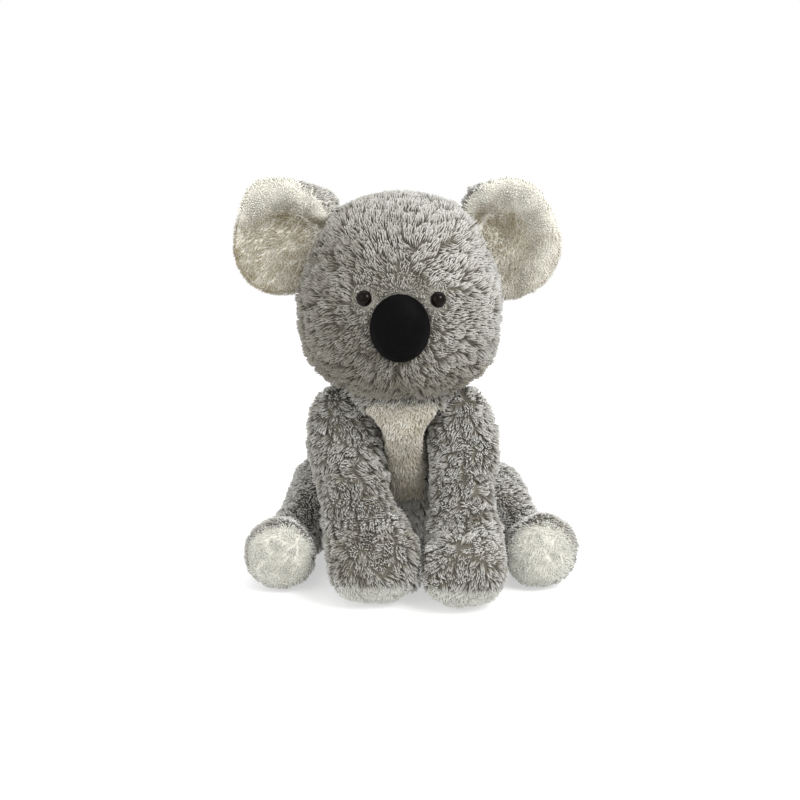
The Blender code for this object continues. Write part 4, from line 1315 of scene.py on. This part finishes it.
class KOALA_OT_nose(bpy.types.Operator):
    """Makes the padded satin nose"""

    bl_idname = "koala.nose"
    bl_label = "Nose"

    def execute(self, context):
        material, shader = new_material(
            "black_satin", Roughness=0.55, Specular_IOR_Level=0.025)
        place = coordinates(material, "Object")
        tone = place.noise(260.0, 3.0).step(0.3, 0.75)
        satin = colours().satin
        feed(shader, Base_Color=tone.between([c * 0.85 for c in satin], [c * 1.15 for c in satin]))
        weave = (place.part("X") * 9000.0).maths("SINE") * (place.part("Z") * 9000.0).maths("SINE")
        feed(shader, Normal=weave.bump(0.15, 0.0001))
        nose = merged_copy("nose_pad", ["nose_cap"])
        apply(nose, "SUBSURF", levels=2)
        points = points_of(nose.data)
        middle = (points.min(axis=0) + points.max(axis=0)) / 2.0
        larger = (points - middle) * np.array([1.07, 1.04, 1.085])
        put_points(nose.data, middle + larger - np.array([0.5, 0.0, 0.9]) * MM)
        for face in nose.data.polygons:
            face.use_smooth = True
        nose.data.materials.append(material)
        finish_piece(nose, "head", "black_satin", "nose_cap", fill=0.9)
        inner, inner_shader = new_material("loose_fibre", Roughness=0.95)
        fibre = coordinates(inner, "Object").noise(700.0, 5.0)
        feed(
            inner_shader,
            Base_Color=fibre.between((0.72, 0.72, 0.70), (0.88, 0.88, 0.86)),
            Normal=fibre.bump(0.5, 0.0005))
        padding = frame["nodes"]["nose_padding"]
        padding.data.materials.clear()
        padding.data.materials.append(inner)
        return {"FINISHED"}


def turned(name, outline, place, way, steps=48):
    """A solid turned about the axis that leaves place in that way, from (radius, rise) pairs"""
    mesh = bpy.data.meshes.new(name)
    rows = [(radius, 0.0, rise) for radius, rise in outline]
    mesh.from_pydata(rows, [(i, i + 1) for i in range(len(rows) - 1)], [])
    piece = bpy.data.objects.new(name, mesh)
    bpy.context.scene.collection.objects.link(piece)
    apply(piece, "SCREW", axis="Z", angle=2.0 * math.pi, steps=steps, render_steps=steps,
          use_merge_vertices=True, merge_threshold=1e-6, use_normal_calculate=True)
    turn = Vector(way).to_track_quat("Z", "Y").to_matrix().to_4x4()
    piece.data.transform(Matrix.Translation(Vector(place)) @ turn)
    select_only(piece)
    bpy.ops.object.mode_set(mode="EDIT")
    bpy.ops.mesh.select_all(action="SELECT")
    bpy.ops.mesh.normals_make_consistent(inside=False)
    bpy.ops.object.mode_set(mode="OBJECT")
    bpy.ops.object.shade_smooth_by_angle(angle=math.radians(35.0))
    return piece


class KOALA_OT_eyes(bpy.types.Operator):
    """Makes the moulded eyes on their ridged shanks, and gives their washers a white material"""

    bl_idname = "koala.eyes"
    bl_label = "Eyes"

    def execute(self, context):
        gloss, shader = new_material(
            "eye_gloss", Roughness=0.03, Specular_IOR_Level=0.09)
        place = coordinates(gloss, "Object")
        tone = place.noise(500.0, 2.0).step(0.35, 0.7)
        eye = colours().eye
        feed(shader, Base_Color=tone.between([c * 0.6 for c in eye], [c * 1.6 for c in eye]))
        white, white_shader = new_material("washer_white", Roughness=0.5)
        ripple = coordinates(white, "Object").noise(900.0, 2.0)
        feed(
            white_shader,
            Base_Color=ripple.between((0.70, 0.70, 0.68), (0.78, 0.78, 0.76)),
            Normal=ripple.bump(0.1, 0.0001))
        base = -1.5 * MM
        outline = [
            (EYE_RADIUS * math.sin(angle), base + 4.5 * MM * math.cos(angle))
            for angle in np.linspace(0.0, math.pi / 2.0, 14)]
        outline += [(EYE_RADIUS + 0.15 * MM, base - 0.15 * MM), (EYE_RADIUS, base - 0.4 * MM)]
        outline += [(1.6 * MM, base - 0.4 * MM)]
        for ridge in (5.3 * MM, 9.2 * MM):
            outline += [
                (1.6 * MM, -ridge + 0.3 * MM), (1.9 * MM, -ridge), (1.6 * MM, -ridge - 0.3 * MM)]
        outline += [(0.8 * MM, -13.0 * MM), (0.0, -13.0 * MM)]
        for side in SIDES:
            piece = turned(f"{side}_eye_dome", outline, EYE_PLACES[side], EYE_WAYS[side])
            piece.data.materials.append(gloss)
            finish_piece(piece, "head", "dark_gloss", f"{side}_eye")
            washer = frame["nodes"][f"{side}_eye_washer"]
            washer.data.materials.clear()
            washer.data.materials.append(white)
        return {"FINISHED"}


class KOALA_OT_stage(bpy.types.Operator):
    """Makes the camera, the lights and the white floor"""

    bl_idname = "koala.stage"
    bl_label = "Stage"

    def execute(self, context):
        stage = context.scene.koala_stage
        target = Vector(stage.target)
        rise = stage.elevation
        place = target + Vector((0.0, -math.cos(rise), math.sin(rise))) * stage.distance
        lens = bpy.data.cameras.new("camera")
        lens.lens = stage.lens
        lens.sensor_width = 36.0
        lens.clip_start = 0.05
        camera = bpy.data.objects.new("camera", lens)
        context.scene.collection.objects.link(camera)
        camera.location = place
        camera.rotation_euler = (target - place).to_track_quat("-Z", "Y").to_euler()
        context.scene.camera = camera
        bpy.ops.object.select_all(action="DESELECT")
        bpy.ops.mesh.primitive_plane_add(size=8.0, location=(0.0, 0.0, -0.0004))
        floor = context.active_object
        floor.name = "floor"
        white, shader = new_material("floor_white", Roughness=0.9, Specular_IOR_Level=0.1)
        shader.inputs["Base Color"].default_value = (0.50, 0.50, 0.50, 1.0)
        shader.inputs["Emission Color"].default_value = (1.0, 1.0, 1.0, 1.0)
        shader.inputs["Emission Strength"].default_value = 0.5
        away = coordinates(white, "Object").length()
        feed(shader, Alpha=1.0 - away.step(0.32, 0.85))
        floor.data.materials.append(white)
        for name, power, size, at in (
            ("key", stage.key, 0.55, (0.75, -0.70, 1.05)),
            ("fill", stage.fill, 1.1, (-0.95, -0.85, 0.60)),
            ("top", stage.fill, 0.9, (0.10, 0.55, 1.20)),
        ):
            data = bpy.data.lights.new(name, "AREA")
            data.energy = power
            data.size = size
            lamp = bpy.data.objects.new(name, data)
            context.scene.collection.objects.link(lamp)
            lamp.location = at
            lamp.rotation_euler = (Vector((0, 0, 0.12)) - Vector(at)).to_track_quat("-Z", "Y").to_euler()
        world = bpy.data.worlds.new("room")
        context.scene.world = world
        world.use_nodes = True
        tree = world.node_tree
        tree.nodes.clear()
        output = tree.nodes.new("ShaderNodeOutputWorld")
        path = Term(tree, tree.nodes.new("ShaderNodeLightPath").outputs["Is Camera Ray"])
        glossy = Term(tree, path.socket.node.outputs["Is Glossy Ray"])
        seen = path.maths("MAXIMUM", glossy)
        strength = seen * (1.0 - stage.world) + stage.world
        shown = path.made("ShaderNodeBackground", inputs={"Color": (1, 1, 1, 1), "Strength": strength})
        tree.links.new(shown.socket, output.inputs["Surface"])
        context.scene.view_settings.view_transform = "Standard"
        return {"FINISHED"}


class KOALA_PT_panel(bpy.types.Panel):
    """Settings and steps of the koala"""

    bl_label = "Plush koala"
    bl_idname = "KOALA_PT_panel"
    bl_space_type = "VIEW_3D"
    bl_region_type = "UI"
    bl_category = "Koala"

    def draw(self, context):
        layout = self.layout
        for group in (context.scene.koala_fur, context.scene.koala_colours, context.scene.koala_stage):
            box = layout.box()
            for name in group.bl_rna.properties.keys():
                if name not in ("rna_type", "name"):
                    box.prop(group, name)
        for step in STEPS:
            layout.operator(step.bl_idname)


GROUPS = {
    "koala_fur": KOALA_PG_fur,
    "koala_colours": KOALA_PG_colours,
    "koala_stage": KOALA_PG_stage,
}
STEPS = (
    KOALA_OT_head,
    KOALA_OT_torso,
    KOALA_OT_arms,
    KOALA_OT_legs,
    KOALA_OT_ears,
    KOALA_OT_nose,
    KOALA_OT_eyes,
    KOALA_OT_stage,
)


def register():
    for item in (*GROUPS.values(), *STEPS, KOALA_PT_panel):
        bpy.utils.register_class(item)
    for name, group in GROUPS.items():
        setattr(bpy.types.Scene, name, PointerProperty(type=group))


def unregister():
    for name in GROUPS:
        delattr(bpy.types.Scene, name)
    for item in reversed((*GROUPS.values(), *STEPS, KOALA_PT_panel)):
        bpy.utils.unregister_class(item)


def main():
    register()
    bpy.ops.koala.head()
    bpy.ops.koala.torso()
    bpy.ops.koala.arms()
    bpy.ops.koala.legs()
    bpy.ops.koala.ears()
    bpy.ops.koala.nose()
    bpy.ops.koala.eyes()
    bpy.ops.koala.stage()


if __name__ == "__main__":
    main()
